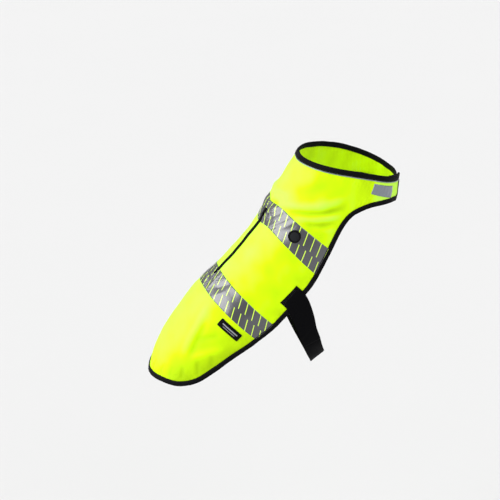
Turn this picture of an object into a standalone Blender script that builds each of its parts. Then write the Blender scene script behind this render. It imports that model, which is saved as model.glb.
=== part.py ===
"""High-visibility safety vest in its worn form.

One yellow back panel with a chest flap on each side, black bound edges, two reflective
tapes over the back, a bound lead opening on the spine and a belly strap in two pieces.
Lengths are metres and angles are degrees. The wearer faces +X, +Z is up and the wearer's
right side is -Y. The origin lies on the inner face of the cloth, on the spine between the
tapes. Every piece is made from the same cloth surface: a point has a station, the length
along the spine from the tail hem, an angle round the body from the spine, positive on the
right side, and a height above the cloth's inner face.
"""

import math

import bmesh
import bpy
import numpy as np
from mathutils import Vector
from mathutils.geometry import delaunay_2d_cdt

# Thickness of the materials and the gap kept at every seam
CLOTH = 0.0020
BINDING_LEG = 0.0010
TAPE_THICKNESS = 0.0010
STRAP_THICKNESS = 0.0016
GAP = 0.0003

# Widths of the trims
BINDING_WIDTH = 0.0110
PIPING_WIDTH = 0.0024
PIPING_HEIGHT = 0.0010
PIPING_SHORT = 8.0
TAPE_WIDTH = 0.048

# Stations of the trims along the spine
LOWER_TAPE_STATION = 0.2522
UPPER_TAPE_STATION = 0.4388
ARMHOLE_STATION = 0.484
NECK_STATION = 0.5685

# How far the upper tape dips towards the tail at the spine, and the dip's half width
UPPER_TAPE_DIP = 0.009
TAPE_DIP_REACH = 13.0

# Chest flaps: the right one laps over the end of the left one
FLAP_BOTTOM_STATION = 0.5395
RIGHT_FLAP_END = 166.0
LEFT_FLAP_END = 222.0
FLAP_POINT_STEP = 18.0
FLAP_LIFT = 0.0056
FLAP_LIFT_ANGLES = (108.0, 134.0)
FLAP_LIFT_STATIONS = (0.490, 0.530)

# Rounded lower corner of a flap: station above its bottom, degrees short of its end
FLAP_CORNER = (
    (0.0004, 9.5),
    (0.0024, 3.0),
    (0.0075, 0.0),
)

# Lead opening beside the spine
SLIT_LINE = (
    # station, angle
    (0.262, 3.2),
    (0.300, 2.4),
    (0.365, 1.6),
    (0.400, 2.2),
    (0.4205, 3.2),
    (0.438, 4.4),
)
SLIT_REAR = 0.262
SLIT_FRONT = 0.4205
SLIT_WIDTH = 0.0090
SLIT_HEIGHT = 0.0018
SLIT_TAPER = 0.018
SLIT_END_SHARE = 0.45
SLIT_RAMP = (0.012, 0.002)
SLIT_TAB_LENGTH = 0.017
SLIT_TAB_WIDTH = 0.0105
SLIT_TAB_THICKNESS = 0.0016

# Small pieces: station and angle of the centre, length round the body, width along it
BADGE_PLACE = (0.4415, 43.4)
BADGE_RADIUS = 0.0130
LABEL_PLACE = (0.2085, 53.7)
LABEL_SIZE = (0.053, 0.0175)
CHEST_PATCH_PLACE = (0.5508, 126.5)
CHEST_PATCH_SIZE = (0.050, 0.0230)
LABEL_THICKNESS = 0.0010
SMALL_CORNER = 0.0015

# Mesh spacing: scale of the angle in the flat plane, and spacing along edges and grids
ANGLE_SCALE = 0.125
EDGE_SPACING = 0.0112
TAPE_COLUMNS = 30
TAPE_ROWS = 4
SMALL_SPACING = 0.009
EDGE_CLEARANCE = 0.0052
FINE_STEPS = 60
NECK_POINTS = 40
CORNER_STEPS = 3
BADGE_SIDES = 24
SLIT_RINGS = 22

# One row for each section of the body under the cloth.
# x, z: the spine; tilt: degrees the section plane leans below level, from spine to belly;
# depth: spine to belly; half_width: spine plane to flank; square: flatness of the back;
# sweep: how far the flank lies ahead of the section plane.
SECTIONS = (
    # place, x, z, tilt, depth, half_width, square, sweep
    ("tail hem", -0.1954, -0.2764, 34.0, 0.262, 0.111, 0.05, -0.008),
    ("tail", -0.1698, -0.2035, 36.0, 0.270, 0.111, 0.06, -0.008),
    ("rump", -0.1164, -0.1237, 38.0, 0.282, 0.111, 0.07, -0.009),
    ("lower tape rear", -0.0801, -0.0797, 39.0, 0.290, 0.111, 0.07, -0.010),
    ("lower tape front", -0.0404, -0.0433, 40.0, 0.294, 0.111, 0.07, -0.010),
    ("mid back", 0.0000, 0.0000, 42.0, 0.298, 0.110, 0.07, -0.008),
    ("upper tape rear", 0.0345, 0.0431, 43.5, 0.296, 0.109, 0.07, -0.006),
    ("upper tape front", 0.0618, 0.0917, 42.0, 0.286, 0.106, 0.06, -0.002),
    ("shoulder", 0.0873, 0.1339, 30.0, 0.250, 0.098, 0.04, 0.003),
    ("neck", 0.1201, 0.1837, 15.0, 0.206, 0.089, 0.02, 0.008),
)

# Outer edge of the cloth with its binding, from the middle of the tail to the chest flap,
# the same on both sides. station, angle.
LOWER_EDGE = (
    ("tail centre", 0.0040, 0.0),
    ("tail", 0.0088, 14.0),
    ("tail round", 0.0207, 28.0),
    ("tail corner", 0.0405, 45.0),
    ("rump", 0.0800, 61.8),
    ("rump side", 0.1180, 69.0),
    ("thigh", 0.1610, 74.4),
    ("flank rear", 0.1900, 78.2),
    ("lower tape rear", 0.2190, 81.4),
    ("lower tape", 0.2580, 82.8),
    ("strap rear", 0.3030, 82.2),
    ("strap front", 0.3530, 81.4),
    ("upper tape rear", 0.3900, 82.4),
    ("upper tape", 0.4300, 83.2),
    ("armhole low", 0.4510, 83.9),
    ("armhole", 0.4730, 85.0),
    ("armhole top", 0.4968, 89.2),
    ("armpit", 0.5102, 94.8),
    ("under the flap", 0.5198, 103.6),
    ("flap rear", 0.5282, 115.0),
    ("flap", 0.5345, 128.0),
)

# Largest folds of the cloth: a ridge (height above zero) or trough along a straight line
# on the cloth, the same line mirrored on the left with the height in the last column.
# station and angle of both ends, half width, height right, height left.
FOLDS = (
    ("shoulder ridge 1", 0.469, 18.0, 0.530, 81.0, 0.0068, 0.0034, 0.0028),
    ("shoulder trough 1", 0.466, 25.0, 0.517, 83.0, 0.0052, -0.0028, -0.0032),
    ("shoulder ridge 2", 0.468, 37.0, 0.506, 80.0, 0.0056, 0.0030, 0.0034),
    ("shoulder trough 2", 0.468, 44.0, 0.496, 78.0, 0.0045, -0.0026, -0.0022),
    ("nape dent", 0.450, 0.0, 0.464, 17.0, 0.0060, -0.0034, -0.0034),
    ("nape roll", 0.474, 0.0, 0.484, 22.0, 0.0085, 0.0034, 0.0034),
    ("tail fold", 0.222, 25.0, 0.095, 36.0, 0.0090, 0.0038, 0.0032),
    ("tail crease", 0.190, 33.0, 0.104, 43.0, 0.0065, -0.0034, -0.0038),
    ("fold under the label", 0.146, 38.0, 0.184, 50.0, 0.0060, -0.0022, -0.0028),
    ("rump fold", 0.106, 42.0, 0.172, 62.0, 0.0085, 0.0036, 0.0030),
)

# Where along its line, as a share, a fold rises and fades out
FOLD_START = (-0.12, 0.25)
FOLD_FINISH = (1.12, 0.75)

# Middle line and width of the belly strap on either side: angle, station, width
STRAP_LINE = (
    ("sewn end", 67.2, 0.3470, 0.0480),
    ("patch", 74.0, 0.3470, 0.0480),
    ("hem", 81.5, 0.3440, 0.0475),
    ("below the hem", 90.0, 0.3355, 0.0465),
    ("flank", 98.0, 0.3265, 0.0440),
    ("flank low", 110.0, 0.3095, 0.0395),
    ("lap", 123.0, 0.2915, 0.0375),
    ("belly side", 136.0, 0.2730, 0.0365),
    ("belly low", 154.0, 0.2540, 0.0360),
    ("belly", 180.0, 0.2440, 0.0360),
)
STRAP_START = 67.2
RIGHT_STRAP_END = 124.0
LEFT_STRAP_END = 260.0
STRAP_COLUMNS = 4

# Heights of the strap's inner side: over the binding, and once it is past the panel
STRAP_OVER_BINDING = 0.0036
RIGHT_STRAP_OVER_LEFT = 0.0027
LEFT_STRAP_ON_BODY = 0.0005
STRAP_RISE = (70.5, 75.0)
STRAP_SETTLE = (89.0, 101.0)

# Angle between two rows of the strap, close together over the panel's edge
STRAP_NEAR_STEP = 2.2
STRAP_FAR_STEP = 5.0
STRAP_FAR_START = 96.0

# Grid of points inside the panel: stations from, to, station step, angle step
PANEL_GRID = (
    ("tail", 0.012, 0.222, 0.0150, 4.2),
    ("between the tapes", 0.2945, 0.4000, 0.0167, 7.0),
    ("shoulders", 0.4690, 0.5620, 0.0080, 5.5),
)

# Tapes over the back: name, station of the middle, dip at the spine
TAPES = (
    ("lower_reflective_tape", LOWER_TAPE_STATION, 0.0),
    ("upper_reflective_tape", UPPER_TAPE_STATION, UPPER_TAPE_DIP),
)

YELLOW = "#DFFB00"
BLACK = "#101014"
REFLECTIVE_GREY = "#7C7F88"
RUBBER = "#26282A"


def clear_scene():
    for item in list(bpy.data.objects):
        bpy.data.objects.remove(item, do_unlink=True)


def cubic_through(places, values):
    """A smooth function through rows of values at rising places."""
    places = np.asarray(places, float)
    values = np.asarray(values, float)
    step = np.diff(places)[:, None]
    rise = np.diff(values, axis=0) / step
    slope = np.empty_like(values)
    slope[0] = rise[0]
    slope[-1] = rise[-1]
    slope[1:-1] = (step[1:] * rise[:-1] + step[:-1] * rise[1:]) / (step[1:] + step[:-1])

    def value_at(place):
        place = np.asarray(place, float)
        row = np.clip(np.searchsorted(places, place, side="right") - 1, 0, len(places) - 2)
        width = places[row + 1] - places[row]
        t = (place - places[row]) / width
        held = np.clip(t, 0.0, 1.0)[..., None]
        width = width[..., None]
        smooth = (
            (2 * held**3 - 3 * held**2 + 1) * values[row]
            + (held**3 - 2 * held**2 + held) * width * slope[row]
            + (3 * held**2 - 2 * held**3) * values[row + 1]
            + (held**3 - held**2) * width * slope[row + 1]
        )
        beyond = (t[..., None] - held) * width
        end_slope = np.where(beyond < 0, slope[0], slope[-1])
        return smooth + beyond * end_slope

    return value_at


def smoothstep(value, start, end):
    t = np.clip((value - start) / (end - start), 0.0, 1.0)
    return t * t * (3 - 2 * t)


SECTION_ROWS = np.array([row[1:] for row in SECTIONS])
SECTION_STATIONS = np.concatenate(
    [[0.0], np.cumsum(np.hypot(np.diff(SECTION_ROWS[:, 0]), np.diff(SECTION_ROWS[:, 1])))]
)
section_at = cubic_through(SECTION_STATIONS, SECTION_ROWS)
slit_angle_at = cubic_through([row[0] for row in SLIT_LINE], [row[1:] for row in SLIT_LINE])
HALF_STRAP = [row[1:] for row in STRAP_LINE]
WHOLE_STRAP = HALF_STRAP + [(360.0 - a, *rest) for a, *rest in HALF_STRAP[-2::-1]]
strap_at = cubic_through([row[0] for row in WHOLE_STRAP], [row[1:] for row in WHOLE_STRAP])


def body_point(station, angle):
    """Point of the smooth body form under the cloth. angle in radians."""
    x, z, tilt, depth, half_width, square, sweep = np.moveaxis(section_at(station), -1, 0)
    tilt = np.radians(tilt)
    half_depth = depth / 2
    oval = half_depth * half_width / np.hypot(
        half_depth * np.sin(angle), half_width * np.cos(angle)
    )
    radius = oval * (1 + square * np.sin(2 * angle) ** 2)
    down = half_depth - radius * np.cos(angle)
    ahead = sweep * np.sin(angle) ** 2
    return np.stack(
        [
            x + np.cos(tilt) * down + np.sin(tilt) * ahead,
            -radius * np.sin(angle),
            z - np.sin(tilt) * down + np.cos(tilt) * ahead,
        ],
        -1,
    )


def steps_of(surface, station, angle):
    """Change of a surface's point for each metre of station and each radian."""
    ds, da = 0.0004, 0.003
    along = (surface(station + ds, angle) - surface(station - ds, angle)) / (2 * ds)
    around = (surface(station, angle + da) - surface(station, angle - da)) / (2 * da)
    return along, around


def outward(surface, station, angle):
    along, around = steps_of(surface, station, angle)
    return unit(np.cross(around, along))


def fold_height(station, angle):
    """Height of the folds, and of the right flap's end where it laps over the left one."""
    height = np.zeros(np.broadcast(station, angle).shape)
    for _, s0, a0, s1, a1, half_width, right, left in FOLDS:
        for side, peak in ((1.0, right), (-1.0, left)):
            u = station - s0
            v = (side * angle - math.radians(a0)) * ANGLE_SCALE
            run_u = s1 - s0
            run_v = math.radians(a1 - a0) * ANGLE_SCALE
            length = math.hypot(run_u, run_v)
            t = (u * run_u + v * run_v) / length**2
            off = (u * run_v - v * run_u) / length
            fade = smoothstep(t, *FOLD_START) * smoothstep(t, *FOLD_FINISH)
            height = height + peak * fade * np.exp(-((off / half_width) ** 2))
    lap = smoothstep(angle, *np.radians(FLAP_LIFT_ANGLES)) * smoothstep(station, *FLAP_LIFT_STATIONS)
    return height + FLAP_LIFT * lap


def inner_face(station, angle):
    lift = fold_height(station, angle)[..., None]
    return body_point(station, angle) + outward(body_point, station, angle) * lift


def cloth_point(station, angle, height=0.0):
    """Point at a height above the cloth's inner face."""
    station, angle = np.broadcast_arrays(np.asarray(station, float), np.asarray(angle, float))
    height = np.broadcast_to(height, station.shape)[..., None]
    return inner_face(station, angle) + outward(inner_face, station, angle) * height


def unit(vectors):
    return vectors / np.linalg.norm(vectors, axis=-1, keepdims=True)


def solve_steps(move, step_s, step_a):
    """Changes of station and angle that make a move in space, from the surface's steps."""
    ss = np.sum(step_s * step_s, -1)
    sa = np.sum(step_s * step_a, -1)
    aa = np.sum(step_a * step_a, -1)
    ms = np.sum(move * step_s, -1)
    ma = np.sum(move * step_a, -1)
    det = ss * aa - sa * sa
    return (ms * aa - ma * sa) / det, (ma * ss - ms * sa) / det


def forward_and_around(step_s, step_a):
    """Unit directions on the cloth: round the body at one station, and square to that."""
    around = unit(step_a)
    forward = step_s - around * np.sum(step_s * around, -1, keepdims=True)
    return unit(forward), around


def move_on_cloth(station, angle, forward, around):
    """Station and angle reached by going real lengths along and round the body."""
    step_s, step_a = steps_of(body_point, station, angle)
    unit_s, unit_a = forward_and_around(step_s, step_a)
    move = unit_s * np.asarray(forward)[..., None] + unit_a * np.asarray(around)[..., None]
    ds, da = solve_steps(move, step_s, step_a)
    return station + ds, angle + da


def inward_of(station, angle):
    """Direction into the cloth, square to an edge path that has the cloth on its left:
    change of station and of angle for each metre."""
    run = unit(np.gradient(body_point(station, angle), axis=0))
    into = np.cross(outward(body_point, station, angle), run)
    return solve_steps(into, *steps_of(body_point, station, angle))


def inset_path(station, angle, inset):
    """The same path, a real length further into the cloth."""
    ds, da = inward_of(station, angle)
    return station + ds * inset, angle + da * inset


def even_path(points):
    """Smooth curve through (station, angle in degrees) points, in steps of one length."""
    flat = np.array([(s, math.radians(a) * ANGLE_SCALE) for s, a in points])
    chord = np.concatenate([[0.0], np.cumsum(np.linalg.norm(np.diff(flat, axis=0), axis=1))])
    fine = cubic_through(chord, flat)(np.linspace(0.0, chord[-1], FINE_STEPS * len(points)))
    real = body_point(fine[:, 0], fine[:, 1] / ANGLE_SCALE)
    length = np.concatenate([[0.0], np.cumsum(np.linalg.norm(np.diff(real, axis=0), axis=1))])
    even = np.linspace(0.0, length[-1], round(length[-1] / EDGE_SPACING) + 1)
    station = np.interp(even, length, fine[:, 0])
    angle = np.interp(even, length, fine[:, 1]) / ANGLE_SCALE
    return station, angle


def flap_side(side, end_angle):
    """Points of one half of the lower edge, from the tail to the top of the flap's end."""
    points = [(s, side * a) for _, s, a in LOWER_EDGE]
    angle = LOWER_EDGE[-1][2] + FLAP_POINT_STEP
    while angle < end_angle - FLAP_POINT_STEP:
        points.append((FLAP_BOTTOM_STATION, side * angle))
        angle += FLAP_POINT_STEP
    for above, short in FLAP_CORNER:
        points.append((FLAP_BOTTOM_STATION + above, side * (end_angle - short)))
    points.append((NECK_STATION, side * end_angle))
    return points


def lower_edge_path():
    """The whole lower edge, from the left flap round the tail to the right flap."""
    left = flap_side(-1.0, LEFT_FLAP_END)
    right = flap_side(1.0, RIGHT_FLAP_END)
    return even_path(left[::-1] + right[1:])


def neck_path():
    """The neck edge from the right flap's end round the nape to the left flap's end."""
    angles = np.linspace(RIGHT_FLAP_END, -LEFT_FLAP_END, NECK_POINTS)
    return even_path([(NECK_STATION, angle) for angle in angles])


def add_object(name, mesh_bmesh, material):
    mesh = bpy.data.meshes.new(name)
    mesh_bmesh.to_mesh(mesh)
    mesh_bmesh.free()
    mesh.shade_smooth()
    mesh.materials.append(material)
    item = bpy.data.objects.new(name, mesh)
    VEST.objects.link(item)
    return item


def add_thickness(item, thickness):
    solid = item.modifiers.new("thickness", "SOLIDIFY")
    solid.thickness = thickness
    solid.offset = 0.0
    solid.use_even_offset = True
    return item


def sheet(name, points, faces, thickness, material):
    """A cloth piece: an open surface through its middle, with thickness on both sides."""
    made = bmesh.new()
    corners = [made.verts.new(Vector(point)) for point in points]
    for face in faces:
        made.faces.new([corners[i] for i in face])
    bmesh.ops.triangulate(made, faces=made.faces)
    bmesh.ops.recalc_face_normals(made, faces=made.faces)
    return add_thickness(add_object(name, made, material), thickness)


def grid_faces(rows, columns):
    return [
        (r * columns + c, r * columns + c + 1, (r + 1) * columns + c + 1, (r + 1) * columns + c)
        for r in range(rows - 1)
        for c in range(columns - 1)
    ]


def fill_flat(outline, inner, clearance):
    """Triangles over an outline in the flat plane, through the inner points that lie
    inside it by at least the clearance."""
    outline = np.asarray(outline)
    inner = np.asarray(inner).reshape(-1, 2)
    after = np.roll(outline, -1, axis=0)
    run = after - outline
    offset = inner[:, None, :] - outline[None]
    t = np.clip(np.sum(offset * run, -1) / np.sum(run * run, -1), 0.0, 1.0)
    distance = np.linalg.norm(offset - t[..., None] * run, axis=-1).min(axis=1)
    crosses = (outline[:, 1] > inner[:, None, 1]) != (after[:, 1] > inner[:, None, 1])
    level = np.where(run[:, 1] == 0.0, 1e-12, run[:, 1])
    meet = outline[:, 0] + (inner[:, None, 1] - outline[:, 1]) * run[:, 0] / level
    inside = (np.sum(crosses & (inner[:, None, 0] < meet), axis=1) % 2) == 1
    kept = inner[inside & (distance > clearance)]
    points = [Vector(p) for p in np.vstack([outline, kept])]
    loop = list(range(len(outline)))
    corners, _, faces, _, _, _ = delaunay_2d_cdt(points, [], [loop], 1, 1e-7)
    return np.array([tuple(c) for c in corners]), faces


def panel_outline():
    """Raw edge of the yellow cloth, just inside the folds of the bindings."""
    inset = BINDING_LEG + GAP
    station, angle = inset_path(*lower_edge_path(), inset)
    lower = np.stack([station, angle * ANGLE_SCALE], -1)
    station, angle = inset_path(*neck_path(), inset)
    neck = np.stack([station, angle * ANGLE_SCALE], -1)
    top = neck[:, 0].mean()
    lower = lower[lower[:, 0] < top - EDGE_SPACING / 4]
    right_end, left_end = lower[-1, 1], lower[0, 1]
    clear = EDGE_SPACING / 3
    neck = neck[(neck[:, 1] < right_end - clear) & (neck[:, 1] > left_end + clear)]
    return np.vstack([lower, [[top, right_end]], neck, [[top, left_end]]])


def edge_angle_at(station, inset):
    """Angle of the flank's edge, less a real length, at stations from rump to armhole."""
    path_station, path_angle = inset_path(*lower_edge_path(), inset)
    flank = (path_angle > 0) & (path_station < ARMHOLE_STATION)
    return np.interp(station, path_station[flank], path_angle[flank])


def tape_grid(middle, dip):
    """Stations and angles of the grid that a tape and the cloth under it share."""
    across = np.linspace(-TAPE_WIDTH / 2, TAPE_WIDTH / 2, TAPE_ROWS + 1) + middle
    share = np.linspace(-1.0, 1.0, TAPE_COLUMNS + 1)
    edge = edge_angle_at(across, BINDING_WIDTH + 2 * GAP)
    angle = edge[:, None] * share[None]
    station = across[:, None] - dip * np.exp(-((angle / math.radians(TAPE_DIP_REACH)) ** 2))
    return station, angle


def make_back_panel(material):
    inner = []
    for _, start, end, station_step, angle_step in PANEL_GRID:
        for station in np.linspace(start, end, round((end - start) / station_step) + 1):
            reach = int((LEFT_FLAP_END + angle_step) / angle_step)
            for count in range(-reach, reach + 1):
                inner.append((station, math.radians(count * angle_step) * ANGLE_SCALE))
    for _, middle, dip in TAPES:
        station, angle = tape_grid(middle, dip)
        inner.extend(zip(station.ravel(), angle.ravel() * ANGLE_SCALE))
    flat, faces = fill_flat(panel_outline(), inner, EDGE_CLEARANCE)
    points = cloth_point(flat[:, 0], flat[:, 1] / ANGLE_SCALE, CLOTH / 2)
    return sheet("back_panel", points, faces, CLOTH, material)


def make_tape(name, middle, dip, material):
    station, angle = tape_grid(middle, dip)
    height = CLOTH + GAP + TAPE_THICKNESS / 2
    points = cloth_point(station, angle, height).reshape(-1, 3)
    faces = grid_faces(TAPE_ROWS + 1, TAPE_COLUMNS + 1)
    return sheet(name, points, faces, TAPE_THICKNESS, material)


def swept(name, rings, material):
    """A solid through closed rings of points, capped at both ends."""
    made = bmesh.new()
    loops = [[made.verts.new(Vector(p)) for p in ring] for ring in rings]
    count = len(loops[0])
    for near, far in zip(loops, loops[1:]):
        for i in range(count):
            j = (i + 1) % count
            made.faces.new((near[i], near[j], far[j], far[i]))
    made.faces.new(loops[0])
    made.faces.new(loops[-1])
    bmesh.ops.recalc_face_normals(made, faces=made.faces)
    bmesh.ops.triangulate(made, faces=made.faces, ngon_method="EAR_CLIP")
    return add_object(name, made, material)


def along_edge(station, angle, profile):
    """Rings of a profile carried along an edge. The profile's points are the distance
    into the cloth from the edge and the height above the inner face."""
    ds, da = inward_of(station, angle)
    ring = [
        cloth_point(station + ds * into, angle + da * into, height) for into, height in profile
    ]
    return np.stack(ring, axis=1)


def binding_profile():
    """Folded tape round the raw edge: outer leg, rounded fold, inner leg."""
    outer_top = CLOTH + GAP + BINDING_LEG
    outer_low = -GAP - BINDING_LEG
    bend = 0.8 * BINDING_LEG
    return (
        (BINDING_WIDTH, outer_top),
        (bend, outer_top),
        (0.0, outer_top - bend),
        (0.0, outer_low + bend),
        (bend, outer_low),
        (BINDING_WIDTH, outer_low),
        (BINDING_WIDTH, -GAP),
        (BINDING_LEG, -GAP),
        (BINDING_LEG, CLOTH + GAP),
        (BINDING_WIDTH, CLOTH + GAP),
    )


def make_bindings(material):
    station, angle = lower_edge_path()
    flap_end = math.radians(RIGHT_FLAP_END)
    neck_foot, _ = move_on_cloth(NECK_STATION, flap_end, -BINDING_WIDTH - GAP, 0.0)
    inner_station, _ = inset_path(station, angle, BINDING_WIDTH)
    below_neck = np.maximum(station, inner_station) < neck_foot
    rings = along_edge(station, angle, binding_profile())[below_neck]
    swept("lower_edge_binding", rings, material)
    station, angle = neck_path()
    swept("neck_binding", along_edge(station, angle, binding_profile()), material)


def make_neck_piping(material):
    station, angle = neck_path()
    start = BINDING_WIDTH + GAP
    low, high = CLOTH + GAP, CLOTH + GAP + PIPING_HEIGHT
    end = start + PIPING_WIDTH
    profile = ((start, low), (start, high), (end, high), (end, low))
    right_end = math.radians(RIGHT_FLAP_END - PIPING_SHORT)
    left_end = math.radians(LEFT_FLAP_END - PIPING_SHORT)
    inside = (angle < right_end) & (angle > -left_end)
    return swept("neck_piping", along_edge(station, angle, profile)[inside], material)


def patch(name, place, size, base, thickness, material):
    """A small rectangle with round corners on the cloth, its long side round the body."""
    length, width = size
    corner = SMALL_CORNER
    outline = []
    for turn in range(4):
        cx = (length / 2 - corner) * (1 if turn in (0, 3) else -1)
        cy = (width / 2 - corner) * (1 if turn in (0, 1) else -1)
        for step in range(CORNER_STEPS + 1):
            bend = math.radians(90 * (turn + step / CORNER_STEPS))
            outline.append((cx + corner * math.cos(bend), cy + corner * math.sin(bend)))
    dense = []
    for (x0, y0), (x1, y1) in zip(outline, outline[1:] + outline[:1]):
        parts = max(1, round(math.hypot(x1 - x0, y1 - y0) / SMALL_SPACING))
        dense.extend((x0 + (x1 - x0) * k / parts, y0 + (y1 - y0) * k / parts) for k in range(parts))
    columns = np.arange(-length / 2, length / 2, SMALL_SPACING)
    rows = np.arange(-width / 2, width / 2, SMALL_SPACING)
    inner = [(x, y) for x in columns for y in rows]
    flat, faces = fill_flat(dense, inner, SMALL_SPACING / 3)
    station, angle = move_on_cloth(place[0], math.radians(place[1]), flat[:, 1], flat[:, 0])
    points = cloth_point(station, angle, base + thickness / 2)
    return sheet(name, points, faces, thickness, material)


def make_badge(material):
    """Round moulded badge with a raised rim, bent to the tape under it."""
    base = CLOTH + GAP + TAPE_THICKNESS + GAP
    profile = (
        (BADGE_RADIUS * 0.97, 0.0),
        (BADGE_RADIUS, 0.0010),
        (BADGE_RADIUS * 0.97, 0.0022),
        (BADGE_RADIUS * 0.88, 0.0027),
        (BADGE_RADIUS * 0.80, 0.0024),
        (BADGE_RADIUS * 0.76, 0.0017),
    )
    turns = np.radians(np.arange(0, 360, 360 / BADGE_SIDES))
    made = bmesh.new()
    middle_station, middle_angle = BADGE_PLACE[0], math.radians(BADGE_PLACE[1])

    def place(radius, turn, height):
        forward, around = radius * np.sin(turn), radius * np.cos(turn)
        station, angle = move_on_cloth(middle_station, middle_angle, forward, around)
        return cloth_point(station, angle, base + height)

    loops = []
    for radius, height in profile:
        loops.append([made.verts.new(Vector(p)) for p in place(radius, turns, height)])
    for near, far in zip(loops, loops[1:]):
        for i in range(len(turns)):
            j = (i + 1) % len(turns)
            made.faces.new((near[i], near[j], far[j], far[i]))
    for loop, height in ((loops[0], profile[0][1]), (loops[-1], profile[-1][1])):
        hub = made.verts.new(Vector(place(0.0 * turns[:1], turns[:1], height)[0]))
        for i in range(len(turns)):
            made.faces.new((loop[i], loop[(i + 1) % len(turns)], hub))
    bmesh.ops.recalc_face_normals(made, faces=made.faces)
    return add_object("rubber_badge", made, material)


def make_slit_binding(material):
    """The two bound lips of the closed lead opening, as one raised strip with a groove.
    The profile's points are shares of its half width and of its height."""
    station = np.linspace(SLIT_REAR, SLIT_FRONT, SLIT_RINGS)
    angle = np.radians(slit_angle_at(station)[..., 0])
    tape_top = LOWER_TAPE_STATION + TAPE_WIDTH / 2
    tape_foot = UPPER_TAPE_STATION - TAPE_WIDTH / 2 - UPPER_TAPE_DIP
    far, near = SLIT_RAMP
    on_tape = smoothstep(station, tape_top + far, tape_top + near)
    on_tape = on_tape + smoothstep(station, tape_foot - far, tape_foot - near)
    base = CLOTH + GAP + on_tape * (TAPE_THICKNESS + GAP)
    full = smoothstep(station, SLIT_REAR, SLIT_REAR + SLIT_TAPER)
    half = SLIT_WIDTH / 2 * (SLIT_END_SHARE + (1 - SLIT_END_SHARE) * full)
    profile = (
        (-1.0, 0.0),
        (-1.0, 0.55),
        (-0.55, 1.0),
        (-0.06, 0.5),
        (0.06, 0.5),
        (0.55, 1.0),
        (1.0, 0.55),
        (1.0, 0.0),
    )
    ring = []
    for across, up in profile:
        s, a = move_on_cloth(station, angle, 0.0 * station, half * across)
        ring.append(cloth_point(s, a, base + SLIT_HEIGHT * up))
    return swept("slit_binding", np.stack(ring, axis=1), material)


def strap_points(side, angles, bottom, columns):
    """Middle surface of one strap piece: rows along it and columns across it."""
    station, width = np.moveaxis(strap_at(angles), -1, 0)
    angle = side * np.radians(angles)
    run = unit(np.gradient(body_point(station, angle), axis=0))
    across = np.cross(outward(body_point, station, angle), run)
    unit_s, unit_a = forward_and_around(*steps_of(body_point, station, angle))
    forward = np.sum(across * unit_s, -1)
    around = np.sum(across * unit_a, -1)
    rows = []
    for share in np.linspace(-0.5, 0.5, columns + 1):
        offset = share * width
        s, a = move_on_cloth(station, angle, forward * offset, around * offset)
        rows.append(cloth_point(s, a, bottom + STRAP_THICKNESS / 2))
    return np.stack(rows, axis=1)


def strap_angles(end):
    """Angles of the rows of a strap piece: close together over the edge of the panel."""
    near_hem = np.arange(STRAP_START, STRAP_FAR_START - STRAP_NEAR_STEP / 2, STRAP_NEAR_STEP)
    beyond = np.linspace(STRAP_FAR_START, end, round((end - STRAP_FAR_START) / STRAP_FAR_STEP) + 1)
    return np.concatenate([near_hem, beyond])


def make_strap(name, side, end, settled, material):
    angles = strap_angles(end)
    on_cloth = CLOTH + GAP
    bottom = on_cloth + (STRAP_OVER_BINDING - on_cloth) * smoothstep(angles, *STRAP_RISE)
    bottom = bottom + (settled - STRAP_OVER_BINDING) * smoothstep(angles, *STRAP_SETTLE)
    points = strap_points(side, angles, bottom, STRAP_COLUMNS)
    faces = grid_faces(len(angles), STRAP_COLUMNS + 1)
    return sheet(name, points.reshape(-1, 3), faces, STRAP_THICKNESS, material)


def channel_to_linear(value):
    return value / 12.92 if value <= 0.04045 else ((value + 0.055) / 1.055) ** 2.4


def make_material(name, hex_colour, roughness, metallic=0.0):
    material = bpy.data.materials.new(name)
    material.use_nodes = True
    shader = material.node_tree.nodes["Principled BSDF"]
    channels = [int(hex_colour[i : i + 2], 16) / 255 for i in (1, 3, 5)]
    shader.inputs["Base Color"].default_value = [*map(channel_to_linear, channels), 1.0]
    shader.inputs["Roughness"].default_value = roughness
    shader.inputs["Metallic"].default_value = metallic
    return material


clear_scene()
VEST = bpy.data.collections.new("safety_vest")
bpy.context.scene.collection.children.link(VEST)

yellow_cloth = make_material("yellow_polyester_cloth", YELLOW, 0.6)
black_binding = make_material("black_binding_tape", BLACK, 0.8)
reflective = make_material("reflective_tape", REFLECTIVE_GREY, 0.4)
black_webbing = make_material("black_elastic_strap", BLACK, 0.75)
rubber = make_material("moulded_rubber", RUBBER, 0.55)

make_back_panel(yellow_cloth)
make_bindings(black_binding)
make_neck_piping(reflective)
for tape_name, tape_middle, tape_dip in TAPES:
    make_tape(tape_name, tape_middle, tape_dip, reflective)
make_slit_binding(black_binding)
ON_CLOTH = CLOTH + GAP
ON_TAPE = ON_CLOTH + TAPE_THICKNESS + GAP
TAB_STATION = SLIT_FRONT + GAP + SLIT_TAB_LENGTH / 2
patch(
    "slit_end_tab",
    (TAB_STATION, float(slit_angle_at(TAB_STATION)[0])),
    (SLIT_TAB_WIDTH, SLIT_TAB_LENGTH),
    ON_TAPE,
    SLIT_TAB_THICKNESS,
    black_binding,
)
make_badge(rubber)
patch("woven_label", LABEL_PLACE, LABEL_SIZE, ON_CLOTH, LABEL_THICKNESS, black_binding)
for side_name, side_sign in (("right", 1.0), ("left", -1.0)):
    patch(
        "chest_patch_" + side_name,
        (CHEST_PATCH_PLACE[0], side_sign * CHEST_PATCH_PLACE[1]),
        CHEST_PATCH_SIZE,
        ON_CLOTH,
        TAPE_THICKNESS,
        reflective,
    )
make_strap("belly_strap_right", 1.0, RIGHT_STRAP_END, RIGHT_STRAP_OVER_LEFT, black_webbing)
make_strap("belly_strap_left", -1.0, LEFT_STRAP_END, LEFT_STRAP_ON_BODY, black_webbing)
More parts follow.
